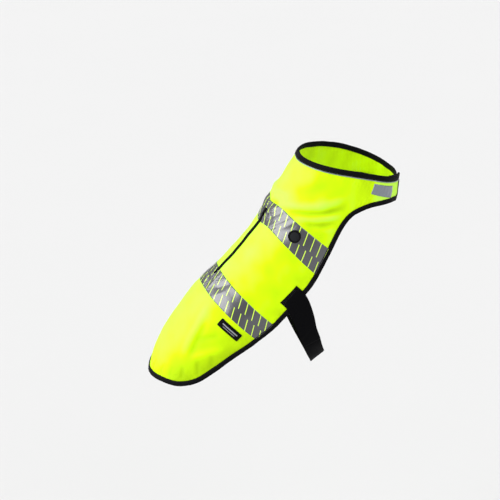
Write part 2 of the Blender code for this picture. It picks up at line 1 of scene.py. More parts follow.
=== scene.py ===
"""Looks of a high-visibility safety vest in its worn form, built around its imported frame.

Every piece is made from the cloth's own surface. A point on it has a station, the length
along the spine from the tail hem, an angle round the body from the spine, positive on the
wearer's right, and a height above the cloth's inner face. Lengths are metres. The wearer
faces +X, +Z is up and the wearer's right side is -Y.
"""

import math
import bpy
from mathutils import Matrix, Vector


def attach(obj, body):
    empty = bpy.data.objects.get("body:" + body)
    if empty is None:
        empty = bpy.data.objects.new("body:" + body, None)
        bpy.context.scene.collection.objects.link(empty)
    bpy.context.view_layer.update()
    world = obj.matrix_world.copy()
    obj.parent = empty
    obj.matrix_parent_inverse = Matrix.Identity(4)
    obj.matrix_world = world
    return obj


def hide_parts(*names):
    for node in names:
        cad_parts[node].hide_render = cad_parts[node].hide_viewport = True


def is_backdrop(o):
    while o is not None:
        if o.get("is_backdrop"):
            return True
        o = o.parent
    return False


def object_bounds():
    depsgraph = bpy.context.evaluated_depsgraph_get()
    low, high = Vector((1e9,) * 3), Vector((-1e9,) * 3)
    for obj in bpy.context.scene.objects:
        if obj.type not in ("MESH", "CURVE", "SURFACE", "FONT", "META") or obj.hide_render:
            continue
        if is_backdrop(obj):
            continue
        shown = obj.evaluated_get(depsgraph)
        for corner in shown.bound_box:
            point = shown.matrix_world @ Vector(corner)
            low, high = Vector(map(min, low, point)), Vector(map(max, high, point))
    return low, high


bl_info = {
    "name": "High-visibility safety vest",
    "version": (1, 0, 0),
    "blender": (4, 5, 0),
    "location": "3D View > Sidebar > Vest",
    "description": "Builds the cloth, trims and straps of a safety vest in its worn form",
    "category": "Add Mesh",
}

import bpy
import numpy as np
from bpy.props import FloatProperty, FloatVectorProperty, PointerProperty
from mathutils import Vector
from mathutils.geometry import delaunay_2d_cdt

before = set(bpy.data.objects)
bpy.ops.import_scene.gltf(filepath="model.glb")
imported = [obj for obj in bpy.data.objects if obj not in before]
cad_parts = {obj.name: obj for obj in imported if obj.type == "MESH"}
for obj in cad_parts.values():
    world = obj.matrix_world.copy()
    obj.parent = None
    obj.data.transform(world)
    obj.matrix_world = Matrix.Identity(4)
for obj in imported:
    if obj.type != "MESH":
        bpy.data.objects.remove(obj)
CAD_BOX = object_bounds()


# The cut of the vest, as in the part's source

CLOTH_TOP = 0.0020
RAW_EDGE_INSET = 0.0013
SEAM_GAP = 0.0003
BINDING_WIDTH = 0.0110
BINDING_TOP = 0.0033
BINDING_FOOT = -0.0013
PIPING_WIDTH = 0.0024
TAPE_WIDTH = 0.048
LOWER_TAPE_STATION = 0.2522
UPPER_TAPE_STATION = 0.4388
UPPER_TAPE_DIP = 0.009
TAPE_DIP_REACH = 13.0
ARMHOLE_STATION = 0.484
NECK_STATION = 0.5685
FLAP_BOTTOM_STATION = 0.5395
RIGHT_FLAP_END = 166.0
LEFT_FLAP_END = 222.0
FLAP_POINT_STEP = 18.0
FLAP_LIFT = 0.0056
FLAP_LIFT_ANGLES = (108.0, 134.0)
FLAP_LIFT_STATIONS = (0.490, 0.530)
FLAP_CORNER = ((0.0004, 9.5), (0.0024, 3.0), (0.0075, 0.0))
SLIT_REAR = 0.262
SLIT_FRONT = 0.4205
SLIT_TAPER = 0.018
SLIT_TAB_LENGTH = 0.017
SLIT_TAB_WIDTH = 0.0105
SLIT_WIDTH = 0.0090
BADGE_PLACE = (0.4415, 43.4)
BADGE_RADIUS = 0.0130
LABEL_PLACE = (0.2085, 53.7)
LABEL_SIZE = (0.053, 0.0175)
CHEST_PATCH_PLACE = (0.5508, 126.5)
CHEST_PATCH_SIZE = (0.050, 0.0230)
STRAP_START = 67.2
RIGHT_STRAP_END = 124.0
LEFT_STRAP_END = 260.0
STRAP_BASE = 0.0023
STRAP_OVER_BINDING = 0.0036
RIGHT_STRAP_OVER_LEFT = 0.0027
LEFT_STRAP_ON_BODY = 0.0005
STRAP_RISE = (70.5, 75.0)
STRAP_SETTLE = (89.0, 101.0)
STRAP_LAP_RISE = (101.0, 105.5)
STRAP_LAP_FALL = (111.5, 112.6)
STRAP_LAP_SLANT = 9.0
STRAP_LAP_HEIGHT = 0.0011
ANGLE_SCALE = 0.125

# The neck edge's real length, as a share of its length on the flat plane
NECK_SHARE = 0.80

# Sections of the body under the cloth: x and z of the spine, tilt in degrees, depth,
# half width, flatness of the back, sweep of the flank
SECTIONS = (
    (-0.1954, -0.2764, 34.0, 0.262, 0.111, 0.05, -0.008),
    (-0.1698, -0.2035, 36.0, 0.270, 0.111, 0.06, -0.008),
    (-0.1164, -0.1237, 38.0, 0.282, 0.111, 0.07, -0.009),
    (-0.0801, -0.0797, 39.0, 0.290, 0.111, 0.07, -0.010),
    (-0.0404, -0.0433, 40.0, 0.294, 0.111, 0.07, -0.010),
    (0.0000, 0.0000, 42.0, 0.298, 0.110, 0.07, -0.008),
    (0.0345, 0.0431, 43.5, 0.296, 0.109, 0.07, -0.006),
    (0.0618, 0.0917, 42.0, 0.286, 0.106, 0.06, -0.002),
    (0.0873, 0.1339, 30.0, 0.250, 0.098, 0.04, 0.003),
    (0.1201, 0.1837, 15.0, 0.206, 0.089, 0.02, 0.008),
)

# Line of the lead opening beside the spine: station, angle
SLIT_LINE = ((0.262, 3.2), (0.300, 2.4), (0.365, 1.6), (0.400, 2.2), (0.4205, 3.2), (0.438, 4.4))

# Outer edge from the middle of the tail to the chest flap: station, angle
LOWER_EDGE = (
    (0.0040, 0.0),
    (0.0088, 14.0),
    (0.0207, 28.0),
    (0.0405, 45.0),
    (0.0800, 61.8),
    (0.1180, 69.0),
    (0.1610, 74.4),
    (0.1900, 78.2),
    (0.2190, 81.4),
    (0.2580, 82.8),
    (0.3030, 82.2),
    (0.3530, 81.4),
    (0.3900, 82.4),
    (0.4300, 83.2),
    (0.4510, 83.9),
    (0.4730, 85.0),
    (0.4968, 89.2),
    (0.5102, 94.8),
    (0.5198, 103.6),
    (0.5282, 115.0),
    (0.5345, 128.0),
)

# Middle line and width of the belly strap: angle, station, width
STRAP_LINE = (
    (67.2, 0.3470, 0.0480),
    (74.0, 0.3470, 0.0480),
    (81.5, 0.3440, 0.0475),
    (90.0, 0.3355, 0.0465),
    (98.0, 0.3265, 0.0440),
    (110.0, 0.3095, 0.0395),
    (123.0, 0.2915, 0.0375),
    (136.0, 0.2730, 0.0365),
    (154.0, 0.2540, 0.0360),
    (180.0, 0.2440, 0.0360),
)

# Folds of the cloth along lines on it: station and angle of both ends, sideways bow of the
# middle, half width, height on the right side, height on the left side
FOLDS = (
    # the large ones, as in the solids
    (0.469, 18.0, 0.530, 81.0, 0.0, 0.0068, 0.0034, 0.0028),
    (0.466, 25.0, 0.517, 83.0, 0.0, 0.0052, -0.0028, -0.0032),
    (0.468, 37.0, 0.506, 80.0, 0.0, 0.0056, 0.0030, 0.0034),
    (0.468, 44.0, 0.496, 78.0, 0.0, 0.0045, -0.0026, -0.0022),
    (0.450, 0.0, 0.464, 17.0, 0.0, 0.0060, -0.0034, -0.0034),
    (0.474, 0.0, 0.484, 22.0, 0.0, 0.0085, 0.0034, 0.0034),
    (0.222, 25.0, 0.095, 36.0, 0.0, 0.0090, 0.0038, 0.0032),
    (0.190, 33.0, 0.104, 43.0, 0.0, 0.0065, -0.0034, -0.0038),
    (0.146, 38.0, 0.184, 50.0, 0.0, 0.0060, -0.0022, -0.0028),
    (0.106, 42.0, 0.172, 62.0, 0.0, 0.0085, 0.0036, 0.0030),
    # small creases of the shoulder
    (0.471, 56.0, 0.486, 79.0, 0.0, 0.0030, 0.0011, 0.0008),
    (0.466, 30.0, 0.500, 74.0, 0.004, 0.0026, 0.0008, 0.0010),
    (0.500, 20.0, 0.540, 60.0, 0.0, 0.0100, -0.0012, -0.0010),
    # dents above the tail hem
    (0.020, 5.0, 0.046, 8.0, 0.0, 0.0045, -0.0012, -0.0010),
    (0.028, 20.0, 0.056, 22.0, 0.0, 0.0045, -0.0016, -0.0012),
    (0.040, 33.0, 0.066, 32.0, 0.0, 0.0042, -0.0014, -0.0016),
    (0.058, 46.0, 0.084, 41.0, 0.0, 0.0048, -0.0018, -0.0013),
    (0.088, 58.0, 0.112, 50.0, 0.0, 0.0050, -0.0018, -0.0016),
    (0.120, 65.0, 0.142, 56.0, 0.0, 0.0050, -0.0014, -0.0016),
    # creases of the lower tape
    (0.244, 18.0, 0.286, 26.5, 0.0, 0.0075, -0.0024, -0.0020),
    (0.230, 12.5, 0.276, 9.5, 0.0, 0.0034, 0.0013, 0.0010),
    (0.230, 22.0, 0.262, 30.0, 0.0, 0.0060, 0.0010, 0.0010),
    # creases of the upper tape
    (0.418, 3.0, 0.468, 18.0, 0.0, 0.0062, 0.0028, 0.0022),
    (0.424, 11.5, 0.468, 26.0, 0.0, 0.0050, -0.0012, -0.0010),
    (0.408, 15.0, 0.466, 34.0, 0.0, 0.0040, 0.0011, 0.0009),
    (0.408, 18.0, 0.466, 35.5, 0.0, 0.0030, -0.0005, -0.0006),
    (0.408, 21.0, 0.466, 39.0, 0.0, 0.0046, 0.0010, 0.0010),
)
FOLD_START = (-0.12, 0.25)
FOLD_FINISH = (1.12, 0.75)

# Slow unevenness of the cloth: waves for each metre along and round, phase, height
WAVES = (
    (14.0, 9.0, 0.3, 0.00028),
    (-8.0, 17.0, 1.9, 0.00030),
    (23.0, -12.0, 4.1, 0.00018),
    (5.0, 27.0, 2.6, 0.00016),
    (31.0, 21.0, 5.5, 0.00010),
)

# Puckers that a seam pulls into the cloth next to it, built like the unevenness
PUCKERS = (
    (88.0, 31.0, 0.7, 0.00018),
    (-47.0, 96.0, 2.2, 0.00020),
    (118.0, -63.0, 4.4, 0.00012),
    (62.0, 121.0, 1.1, 0.00011),
)
PUCKER_REACH = 0.009

# Painted light and shade in the cloth's colour: angles over which the back's painted light
# ends, height of a crest with the full painted highlight, what is left of the crests'
# painted highlight on the tail, reach of the painted shade from the tail's edge and
# stations over which both ends of the tail's painted shading fade
PAINTED_BACK_LIGHT_ANGLES = (14.0, 44.0)
CREST_HEIGHT = 0.0034
TAIL_CREST_SHARE = 0.5
PAINTED_EDGE_SHADE_REACH = 0.048
PAINTED_EDGE_SHADE_STATIONS = (0.16, 0.30)

# Accordion crumples of the tapes over the spine: pitch round the body, height, reach
CRUMPLE_PITCH = 0.0050
CRUMPLE_HEIGHT = 0.0012
CRUMPLE_REACH = 0.030
BODY_RADIUS = 0.145
TAPE_BED_DEPTH = 0.0005

# Tone of the flanks' colour, the painted light that the back and a crest add to it, and
# the painted shade that the tail's edge adds
FLANK_TONE = 0.37
PAINTED_BACK_LIGHT = 0.43
PAINTED_CREST_SHADING = 0.50
PAINTED_EDGE_SHADE = -0.40

# Tones over which the colour goes from painted shade to usual and on to painted light, and
# the share of the dye's clouds
USUAL_TONES = (0.0, 0.45)
PAINTED_LIGHT_TONES = (0.45, 1.05)
CLOUD_TONE = 0.07

# Bindings: wall, puff, place of the seam across the width, height of its threads
BINDING_SPACING = 0.0035
BINDING_WALL = 0.0008
BINDING_PUFF = 0.0004
BINDING_SEAM = 0.83
OUTER_THREAD_RISE = 0.0001
INNER_THREAD_DROP = 0.0002

# Piping, which stops a few degrees short of both flaps' ends
PIPING_SPACING = 0.004
PIPING_START = BINDING_WIDTH + 0.0002
PIPING_FOOT = 0.0021
PIPING_HEIGHT = 0.0013
PIPING_SHORT = 4.0

# Tapes: points across and along, reach under the binding, ends that climb its seam
TAPE_ROWS = 31
TAPE_COLUMNS = 361
TAPE_UNDER_BINDING = 0.002
TAPE_CLEARANCE = 0.00006
TAPE_END_SHARES = (0.984, 1.0)
TAPE_END_RISE = 0.0010

# Lips of the lead opening, which narrow towards its rear end
SLIT_SPACING = 0.002
SLIT_END_SHARE = 0.60
LIP_FOOT = CLOTH_TOP + 0.0004
LIP_HEIGHT = 0.0023
LIP_STEP = 0.0006

# Small flat pieces: corner radius, height of the middle of the wall, thickness
TAB_FORM = (0.0022, CLOTH_TOP + 0.0022, 0.0020)
LABEL_FORM = (0.0022, CLOTH_TOP + 0.0006, 0.0008)
CHEST_PATCH_FORM = (0.0006, CLOTH_TOP + 0.0003, 0.0004)
PATCH_SPACING = 0.0016
TAB_SPACING = 0.0012
PATCH_CROWN = 0.0003
PATCH_CROWN_REACH = 0.0014

# Bars of the label: middle across the label, half height, half length
LABEL_BARS = ((0.0012, 0.0013, 0.019), (-0.0034, 0.0006, 0.015))

# Badge from its foot over the rim to the middle: share of the radius, height
BADGE_FOOT = CLOTH_TOP + 0.0005
BADGE_FACE_SHARE = 0.70
BADGE_PROFILE = (
    (0.965, 0.0000),
    (0.995, 0.0008),
    (1.000, 0.0015),
    (0.985, 0.0021),
    (0.950, 0.0025),
    (0.890, 0.0027),
    (0.830, 0.0026),
    (0.780, 0.0023),
    (0.750, 0.0017),
    (0.735, 0.0012),
    (0.700, 0.0011),
    (0.600, 0.0012),
    (0.400, 0.0014),
    (0.200, 0.0015),
    (0.030, 0.0015),
)

# Belly strap: points across, wall, height of its middle above its underside, sunk edges
STRAP_COLUMNS = 19
STRAP_WALL = 0.0014
STRAP_MIDDLE = 0.0008
STRAP_EDGE_DROP = 0.00025
STRAP_THREAD_RISE = 0.0017

# Seams that hold the strap on the cloth: inset from its sides, first and last angle
STRAP_SEAMS = ((0.003, 68.6, 76.6), (0.006, 70.0, 75.3))

# Reflective film where nothing cuts it
FILM_ROUGHNESS = 0.31
FILM_METAL = 0.4

# Studio: half width of the floor, light from all sides, where the picture's middle lies
# to the right of and above the origin
FLOOR_REACH = 30.0
FILL_STRENGTH = 0.55
PICTURE_MIDDLE = (0.01805, -0.01253)

# Lights: name, direction towards it, width in degrees, strength
LIGHTS = (
    ("wide_softbox_on_the_left", (-0.84, -0.20, 0.50), 80.0, 0.40),
    ("small_softbox_on_the_left", (-0.88, -0.15, 0.46), 56.0, 2.4),
    ("soft_light_from_behind", (-0.60, 0.50, 0.62), 40.0, 0.28),
    ("soft_light_from_the_front", (0.42, -0.66, 0.62), 60.0, 1.0),
)


# Mathematics of the cloth's surface


def cubic_through(places, values):
    """A smooth function through rows of values at rising places."""
    places = np.asarray(places, float)
    values = np.asarray(values, float)
    step = np.diff(places)[:, None]
    rise = np.diff(values, axis=0) / step
    slope = np.empty_like(values)
    slope[0] = rise[0]
    slope[-1] = rise[-1]
    slope[1:-1] = (step[1:] * rise[:-1] + step[:-1] * rise[1:]) / (step[1:] + step[:-1])

    def value_at(place):
        place = np.asarray(place, float)
        row = np.clip(np.searchsorted(places, place, side="right") - 1, 0, len(places) - 2)
        width = places[row + 1] - places[row]
        t = (place - places[row]) / width
        held = np.clip(t, 0.0, 1.0)[..., None]
        width = width[..., None]
        smooth = (
            (2 * held**3 - 3 * held**2 + 1) * values[row]
            + (held**3 - 2 * held**2 + held) * width * slope[row]
            + (3 * held**2 - 2 * held**3) * values[row + 1]
            + (held**3 - held**2) * width * slope[row + 1]
        )
        beyond = (t[..., None] - held) * width
        return smooth + beyond * np.where(beyond < 0, slope[0], slope[-1])

    return value_at


def smoothstep(value, start, end):
    t = np.clip((value - start) / (end - start), 0.0, 1.0)
    return t * t * (3 - 2 * t)


def unit(vectors):
    return vectors / np.linalg.norm(vectors, axis=-1, keepdims=True)


def lengths_along(points):
    """Length of a line from its first point to each of them."""
    steps = np.linalg.norm(np.diff(points, axis=0), axis=1)
    return np.concatenate([[0.0], np.cumsum(steps)])


SECTION_ROWS = np.array(SECTIONS)
section_at = cubic_through(lengths_along(SECTION_ROWS[:, :2]), SECTION_ROWS)
WHOLE_STRAP = STRAP_LINE + tuple((360.0 - a, *rest) for a, *rest in STRAP_LINE[-2::-1])
strap_at = cubic_through([row[0] for row in WHOLE_STRAP], [row[1:] for row in WHOLE_STRAP])
slit_angle_at = cubic_through([row[0] for row in SLIT_LINE], [row[1:] for row in SLIT_LINE])


def body_point(station, angle):
    """Point of the smooth body form under the cloth. angle in radians."""
    x, z, tilt, depth, half_width, square, sweep = np.moveaxis(section_at(station), -1, 0)
    tilt = np.radians(tilt)
    half_depth = depth / 2
    oval = half_depth * half_width / np.hypot(
        half_depth * np.sin(angle), half_width * np.cos(angle)
    )
    radius = oval * (1 + square * np.sin(2 * angle) ** 2)
    down = half_depth - radius * np.cos(angle)
    ahead = sweep * np.sin(angle) ** 2
    return np.stack(
        [
            x + np.cos(tilt) * down + np.sin(tilt) * ahead,
            -radius * np.sin(angle),
            z - np.sin(tilt) * down + np.cos(tilt) * ahead,
        ],
        -1,
    )


def steps_of(station, angle):
    """Change of the body's point for each metre of station and each radian."""
    ds, da = 0.0004, 0.003
    along = (body_point(station + ds, angle) - body_point(station - ds, angle)) / (2 * ds)
    around = (body_point(station, angle + da) - body_point(station, angle - da)) / (2 * da)
    return along, around


def outward(station, angle):
    along, around = steps_of(station, angle)
    return unit(np.cross(around, along))


def sum_of_waves(waves, station, angle):
    """Smooth irregular height from a few slanted waves."""
    round_it = angle * ANGLE_SCALE
    height = 0.0
    for along, across, phase, size in waves:
        height = height + size * np.sin(2 * math.pi * (station * along + round_it * across) + phase)
    return height


def fold_height(station, angle):
    """Height of the folds and creases, and of the right flap's end over the left one."""
    height = sum_of_waves(WAVES, station, angle)
    for s0, a0, s1, a1, bow, half_width, right, left in FOLDS:
        run_u = s1 - s0
        run_v = math.radians(a1 - a0) * ANGLE_SCALE
        length = math.hypot(run_u, run_v)
        for side, peak in ((1.0, right), (-1.0, left)):
            u = station - s0
            v = (side * angle - math.radians(a0)) * ANGLE_SCALE
            t = (u * run_u + v * run_v) / length**2
            off = (u * run_v - v * run_u) / length - bow * 4 * t * (1 - t)
            fade = smoothstep(t, *FOLD_START) * smoothstep(t, *FOLD_FINISH)
            height = height + peak * fade * np.exp(-((off / half_width) ** 2))
    height = height + sum_of_waves(PUCKERS, station, angle) * seam_nearness(station, angle)
    lap = smoothstep(angle, *np.radians(FLAP_LIFT_ANGLES)) * smoothstep(station, *FLAP_LIFT_STATIONS)
    return height + FLAP_LIFT * lap


def tape_middle(middle, dip, angle):
    """Station of a tape's middle line, which dips towards the tail at the spine."""
    return middle - dip * np.exp(-((angle / math.radians(TAPE_DIP_REACH)) ** 2))


def tape_bed(station, angle):
    """Depth by which the cloth lies lower under the tapes, so that it stays hidden."""
    bed = 0.0
    for middle, dip in ((LOWER_TAPE_STATION, 0.0), (UPPER_TAPE_STATION, UPPER_TAPE_DIP)):
        inside = TAPE_WIDTH / 2 - np.abs(station - tape_middle(middle, dip, angle))
        bed = bed + TAPE_BED_DEPTH * smoothstep(inside, 0.0008, 0.0040)
    return bed


def crumple_height(across, angle):
    """Height of the accordion crumples that a tape has over the spine."""
    round_it = angle * BODY_RADIUS
    wander = 0.55 * np.sin(across * 190.0 + 1.0) + 0.30 * np.sin(across * 470.0 + round_it * 160.0)
    turns = round_it / CRUMPLE_PITCH + wander + 0.8 * np.sin(round_it * 90.0 + 0.4)
    ridge = 0.5 + 0.5 * np.sin(2 * math.pi * turns)
    return CRUMPLE_HEIGHT * ridge * np.exp(-((round_it / CRUMPLE_REACH) ** 2))


def cloth_point(station, angle, height=0.0):
    """Point at a height above the cloth's inner face."""
    station, angle = np.broadcast_arrays(np.asarray(station, float), np.asarray(angle, float))
    lift = (fold_height(station, angle) + height)[..., None]
    return body_point(station, angle) + outward(station, angle) * lift


def solve_steps(move, step_s, step_a):
    """Changes of station and angle that make a move in space, from the surface's steps."""
    ss = np.sum(step_s * step_s, -1)
    sa = np.sum(step_s * step_a, -1)
    aa = np.sum(step_a * step_a, -1)
    ms = np.sum(move * step_s, -1)
    ma = np.sum(move * step_a, -1)
    det = ss * aa - sa * sa
    return (ms * aa - ma * sa) / det, (ma * ss - ms * sa) / det


def forward_and_around(step_s, step_a):
    """Unit directions on the cloth: round the body at one station, and square to that."""
    around = unit(step_a)
    forward = step_s - around * np.sum(step_s * around, -1, keepdims=True)
    return unit(forward), around


def move_on_cloth(station, angle, forward, around):
    """Station and angle reached by going real lengths along and round the body."""
    step_s, step_a = steps_of(station, angle)
    unit_s, unit_a = forward_and_around(step_s, step_a)
    move = unit_s * np.asarray(forward)[..., None] + unit_a * np.asarray(around)[..., None]
    ds, da = solve_steps(move, step_s, step_a)
    return station + ds, angle + da


def inset_path(station, angle, inset):
    """The path, a real length further into the cloth, which lies on its left."""
    run = unit(np.gradient(body_point(station, angle), axis=0))
    step_s, step_a = steps_of(station, angle)
    into = np.cross(outward(station, angle), run)
    ds, da = solve_steps(into, step_s, step_a)
    return station + ds * inset, angle + da * inset


def even_path(points, spacing):
    """Smooth curve through (station, angle in degrees) points, in steps of one length."""
    flat = np.array([(s, math.radians(a) * ANGLE_SCALE) for s, a in points])
    chord = lengths_along(flat)
    fine = cubic_through(chord, flat)(np.linspace(0.0, chord[-1], 60 * len(points)))
    length = lengths_along(body_point(fine[:, 0], fine[:, 1] / ANGLE_SCALE))
    even = np.linspace(0.0, length[-1], round(length[-1] / spacing) + 1)
    station = np.interp(even, length, fine[:, 0])
    angle = np.interp(even, length, fine[:, 1]) / ANGLE_SCALE
    return station, angle


def flap_side(side, end_angle):
    """Points of one half of the lower edge, from the tail to the top of the flap's end."""
    points = [(s, side * a) for s, a in LOWER_EDGE]
    angle = LOWER_EDGE[-1][1] + FLAP_POINT_STEP
    while angle < end_angle - FLAP_POINT_STEP:
        points.append((FLAP_BOTTOM_STATION, side * angle))
        angle += FLAP_POINT_STEP
    for above, short in FLAP_CORNER:
        points.append((FLAP_BOTTOM_STATION + above, side * (end_angle - short)))
    points.append((NECK_STATION, side * end_angle))
    return points


def lower_edge_path(spacing):
    """The whole lower edge, from the left flap round the tail to the right flap."""
    left = flap_side(-1.0, LEFT_FLAP_END)
    right = flap_side(1.0, RIGHT_FLAP_END)
    return even_path(left[::-1] + right[1:], spacing)


def neck_path(spacing):
    """The neck edge from the right flap's end round the nape to the left flap's end."""
    angles = np.linspace(RIGHT_FLAP_END, -LEFT_FLAP_END, 40)
    return even_path([(NECK_STATION, angle) for angle in angles], spacing)


def edge_angle_at(station, inset):
    """Angle of the flank's edge, less a real length, at stations from rump to armhole."""
    path_station, path_angle = inset_path(*lower_edge_path(0.006), inset)
    flank = (path_angle > 0) & (path_station < ARMHOLE_STATION)
    return np.interp(station, path_station[flank], path_angle[flank])


EDGE_ANGLES = np.array([math.radians(a) for _, a in LOWER_EDGE])
EDGE_STATIONS = np.array([s for s, _ in LOWER_EDGE])

# Rows of the lower edge's table that bound the tail, and the row where the flap begins
TAIL_ROWS = 10
FLAP_ROW = 15


def lower_edge_distance(station, angle):
    """Rough length on the cloth from a point to the lower edge."""
    turn = np.abs(angle)
    tail, flap = slice(0, TAIL_ROWS), slice(FLAP_ROW, None)
    from_tail = station - np.interp(turn, EDGE_ANGLES[tail], EDGE_STATIONS[tail], right=-1.0)
    from_flank = (np.interp(station, EDGE_STATIONS, EDGE_ANGLES) - turn) * ANGLE_SCALE
    from_flap = station - np.interp(turn, EDGE_ANGLES[flap], EDGE_STATIONS[flap], left=-1.0)
    low = np.abs(from_tail * from_flank) / np.maximum(np.hypot(from_tail, from_flank), 1e-6)
    high = np.abs(from_flap * from_flank) / np.maximum(np.hypot(from_flap, from_flank), 1e-6)
    high = np.where(turn > EDGE_ANGLES[FLAP_ROW], from_flap, high)
    return np.where(station < ARMHOLE_STATION, low, high)


def seam_nearness(station, angle):
    """How near a point is to a bound edge, from 1 at the binding's seam to 0."""
    edge = np.minimum(lower_edge_distance(station, angle), NECK_STATION - station)
    return np.exp(-((np.maximum(edge - BINDING_WIDTH, 0.0) / PUCKER_REACH) ** 2))


def painted_light_tone(station, angle):
    """Painted light and shade of the cloth's colour: a painted highlight on the back and the
    crests of folds, painted shade in their troughs and towards the tail's edge.
    """
    back = 1 - smoothstep(np.abs(angle), *np.radians(PAINTED_BACK_LIGHT_ANGLES))
    crest = np.clip(fold_height(station, angle) / CREST_HEIGHT, -0.7, 1.0)
    edge_shade = np.exp(-((lower_edge_distance(station, angle) / PAINTED_EDGE_SHADE_REACH) ** 2))
    tail = 1 - smoothstep(station, *PAINTED_EDGE_SHADE_STATIONS)
    crest = crest * (1 - (1 - TAIL_CREST_SHARE) * tail)
    edge_shade = edge_shade * tail
    return FLANK_TONE + PAINTED_BACK_LIGHT * back + PAINTED_CREST_SHADING * crest + PAINTED_EDGE_SHADE * edge_shade


# Meshes

# One stitch: share of its length, share of its radius, height in radii
STITCH_SHAPE = np.array(
    [(0.0, 0.25, -0.7), (0.15, 0.9, -0.2), (0.5, 1.0, 0.25), (0.85, 0.9, -0.2), (1.0, 0.25, -0.7)]
)
STITCH_SIDES = 6


def linear(hex_colour):
    """Linear red, green and blue of an sRGB hex colour."""
    channels = [int(hex_colour[i : i + 2], 16) / 255 for i in (1, 3, 5)]
    return tuple(c / 12.92 if c <= 0.04045 else ((c + 0.055) / 1.055) ** 2.4 for c in channels)


def add_piece(name, points, faces, material, place=None, tone=None):
    """An object in the vest's collection. place holds each point's coordinates on the
    cloth in metres, which the patterns of the material are drawn from, and tone the
    painted light and shade of its colour."""
    mesh = bpy.data.meshes.new(name)
    mesh.from_pydata([tuple(p) for p in np.asarray(points)], [], [tuple(f) for f in faces])
    if place is not None:
        layer = mesh.attributes.new("cloth_place", "FLOAT_VECTOR", "POINT")
        flat = np.zeros((len(points), 3))
        flat[:, :2] = place
        layer.data.foreach_set("vector", flat.ravel())
    if tone is not None:
        mesh.attributes.new("painted_light_tone", "FLOAT", "POINT").data.foreach_set("value", tone)
    mesh.update()
    mesh.shade_smooth()
    mesh.materials.append(material)
    piece = bpy.data.objects.new(name, mesh)
    vest_collection().objects.link(piece)
    return piece


def vest_collection():
    found = bpy.data.collections.get("safety_vest_looks")
    if found is None:
        found = bpy.data.collections.new("safety_vest_looks")
        bpy.context.scene.collection.children.link(found)
    return found


def add_wall(piece, thickness):
    """Gives a cloth sheet its wall, half on either side of the sheet."""
    wall = piece.modifiers.new("cloth wall", "SOLIDIFY")
    wall.thickness = thickness
    wall.offset = 0.0
    wall.use_even_offset = True


def hold(piece, slot, *nodes, sewn_on="yellow_back_panel"):
    """Ties a piece to the vest's body or to the piece that it is sewn on, and hides the
    CAD nodes it stands for. slot, meant for its material slot, is not used."""
    if sewn_on is None:
        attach(piece, "root")
    elif sewn_on in bpy.data.objects:
        piece.parent = bpy.data.objects[sewn_on]
    else:
        raise RuntimeError(f"{sewn_on} has to be built first")
    if nodes:
        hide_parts(*nodes)


def grid_faces(rows, columns):
    return [
        (r * columns + c, (r + 1) * columns + c, (r + 1) * columns + c + 1, r * columns + c + 1)
        for r in range(rows - 1)
        for c in range(columns - 1)
    ]


def ring_faces(rings, count, caps=True):
    """Faces between closed rings of points, and over both ends."""
    faces = []
    for first in range(0, (rings - 1) * count, count):
        after = first + count
        for i in range(count):
            j = (i + 1) % count
            faces.append((first + i, first + j, after + j, after + i))
    if caps:
        faces.append(tuple(range(count - 1, -1, -1)))
        faces.append(tuple((rings - 1) * count + i for i in range(count)))
    return faces


def fill_flat(outline, spacing, clearance):
    """Points and triangles over an outline in a flat plane, on an even triangular grid."""
    outline = np.asarray(outline, float)
    low, high = outline.min(axis=0), outline.max(axis=0)
    row_step = spacing * math.sqrt(0.75)
    rows = np.arange(low[0] + row_step / 2, high[0], row_step)
    columns = np.arange(low[1], high[1], spacing)
    u, v = np.meshgrid(rows, columns, indexing="ij")
    v = v + (np.arange(len(rows)) % 2)[:, None] * spacing / 2
    inner = np.stack([u.ravel(), v.ravel()], -1)
    after = np.roll(outline, -1, axis=0)
    run = after - outline
    kept = []
    for block in np.array_split(inner, max(1, len(inner) // 2000)):
        offset = block[:, None, :] - outline[None]
        t = np.clip(np.sum(offset * run, -1) / np.sum(run * run, -1), 0.0, 1.0)
        distance = np.linalg.norm(offset - t[..., None] * run, axis=-1).min(axis=1)
        crosses = (outline[:, 1] > block[:, None, 1]) != (after[:, 1] > block[:, None, 1])
        level = np.where(run[:, 1] == 0.0, 1e-12, run[:, 1])
        meet = outline[:, 0] + (block[:, None, 1] - outline[:, 1]) * run[:, 0] / level
        inside = (np.sum(crosses & (block[:, None, 0] < meet), axis=1) % 2) == 1
        kept.append(block[inside & (distance > clearance)])
    points = [Vector(p) for p in np.vstack([outline, *kept])]
    loop = list(range(len(outline)))
    corners, _, faces, _, _, _ = delaunay_2d_cdt(points, [], [loop], 1, 1e-7)
    return np.array([tuple(c) for c in corners]), [tuple(reversed(f)) for f in faces]


def panel_outline(inset, spacing):
    """Raw edge of the yellow cloth in the flat plane, inside the folds of the bindings."""
    station, angle = inset_path(*lower_edge_path(spacing), inset)
    lower = np.stack([station, angle * ANGLE_SCALE], -1)
    station, angle = inset_path(*neck_path(spacing), inset)
    neck = np.stack([station, angle * ANGLE_SCALE], -1)
    top = neck[:, 0].mean()
    lower = lower[lower[:, 0] < top - spacing / 4]
    right_end, left_end = lower[-1, 1], lower[0, 1]
    clear = spacing / 3
    neck = neck[(neck[:, 1] < right_end - clear) & (neck[:, 1] > left_end + clear)]
    return np.vstack([lower, [[top, right_end]], neck, [[top, left_end]]])


def rounded_rectangle(length, width, corner, spacing):
    """Outline of a small piece: (round the body, along it), counted anticlockwise."""
    outline = []
    for turn in range(4):
        cx = (length / 2 - corner) * (1 if turn in (0, 3) else -1)
        cy = (width / 2 - corner) * (1 if turn in (0, 1) else -1)
        for step in range(5):
            bend = math.radians(90 * (turn + step / 4))
            outline.append((cx + corner * math.cos(bend), cy + corner * math.sin(bend)))
    dense = []
    for (x0, y0), (x1, y1) in zip(outline, outline[1:] + outline[:1]):
        parts = max(1, round(math.hypot(x1 - x0, y1 - y0) / spacing))
        dense.extend((x0 + (x1 - x0) * k / parts, y0 + (y1 - y0) * k / parts) for k in range(parts))
    return np.array(dense)


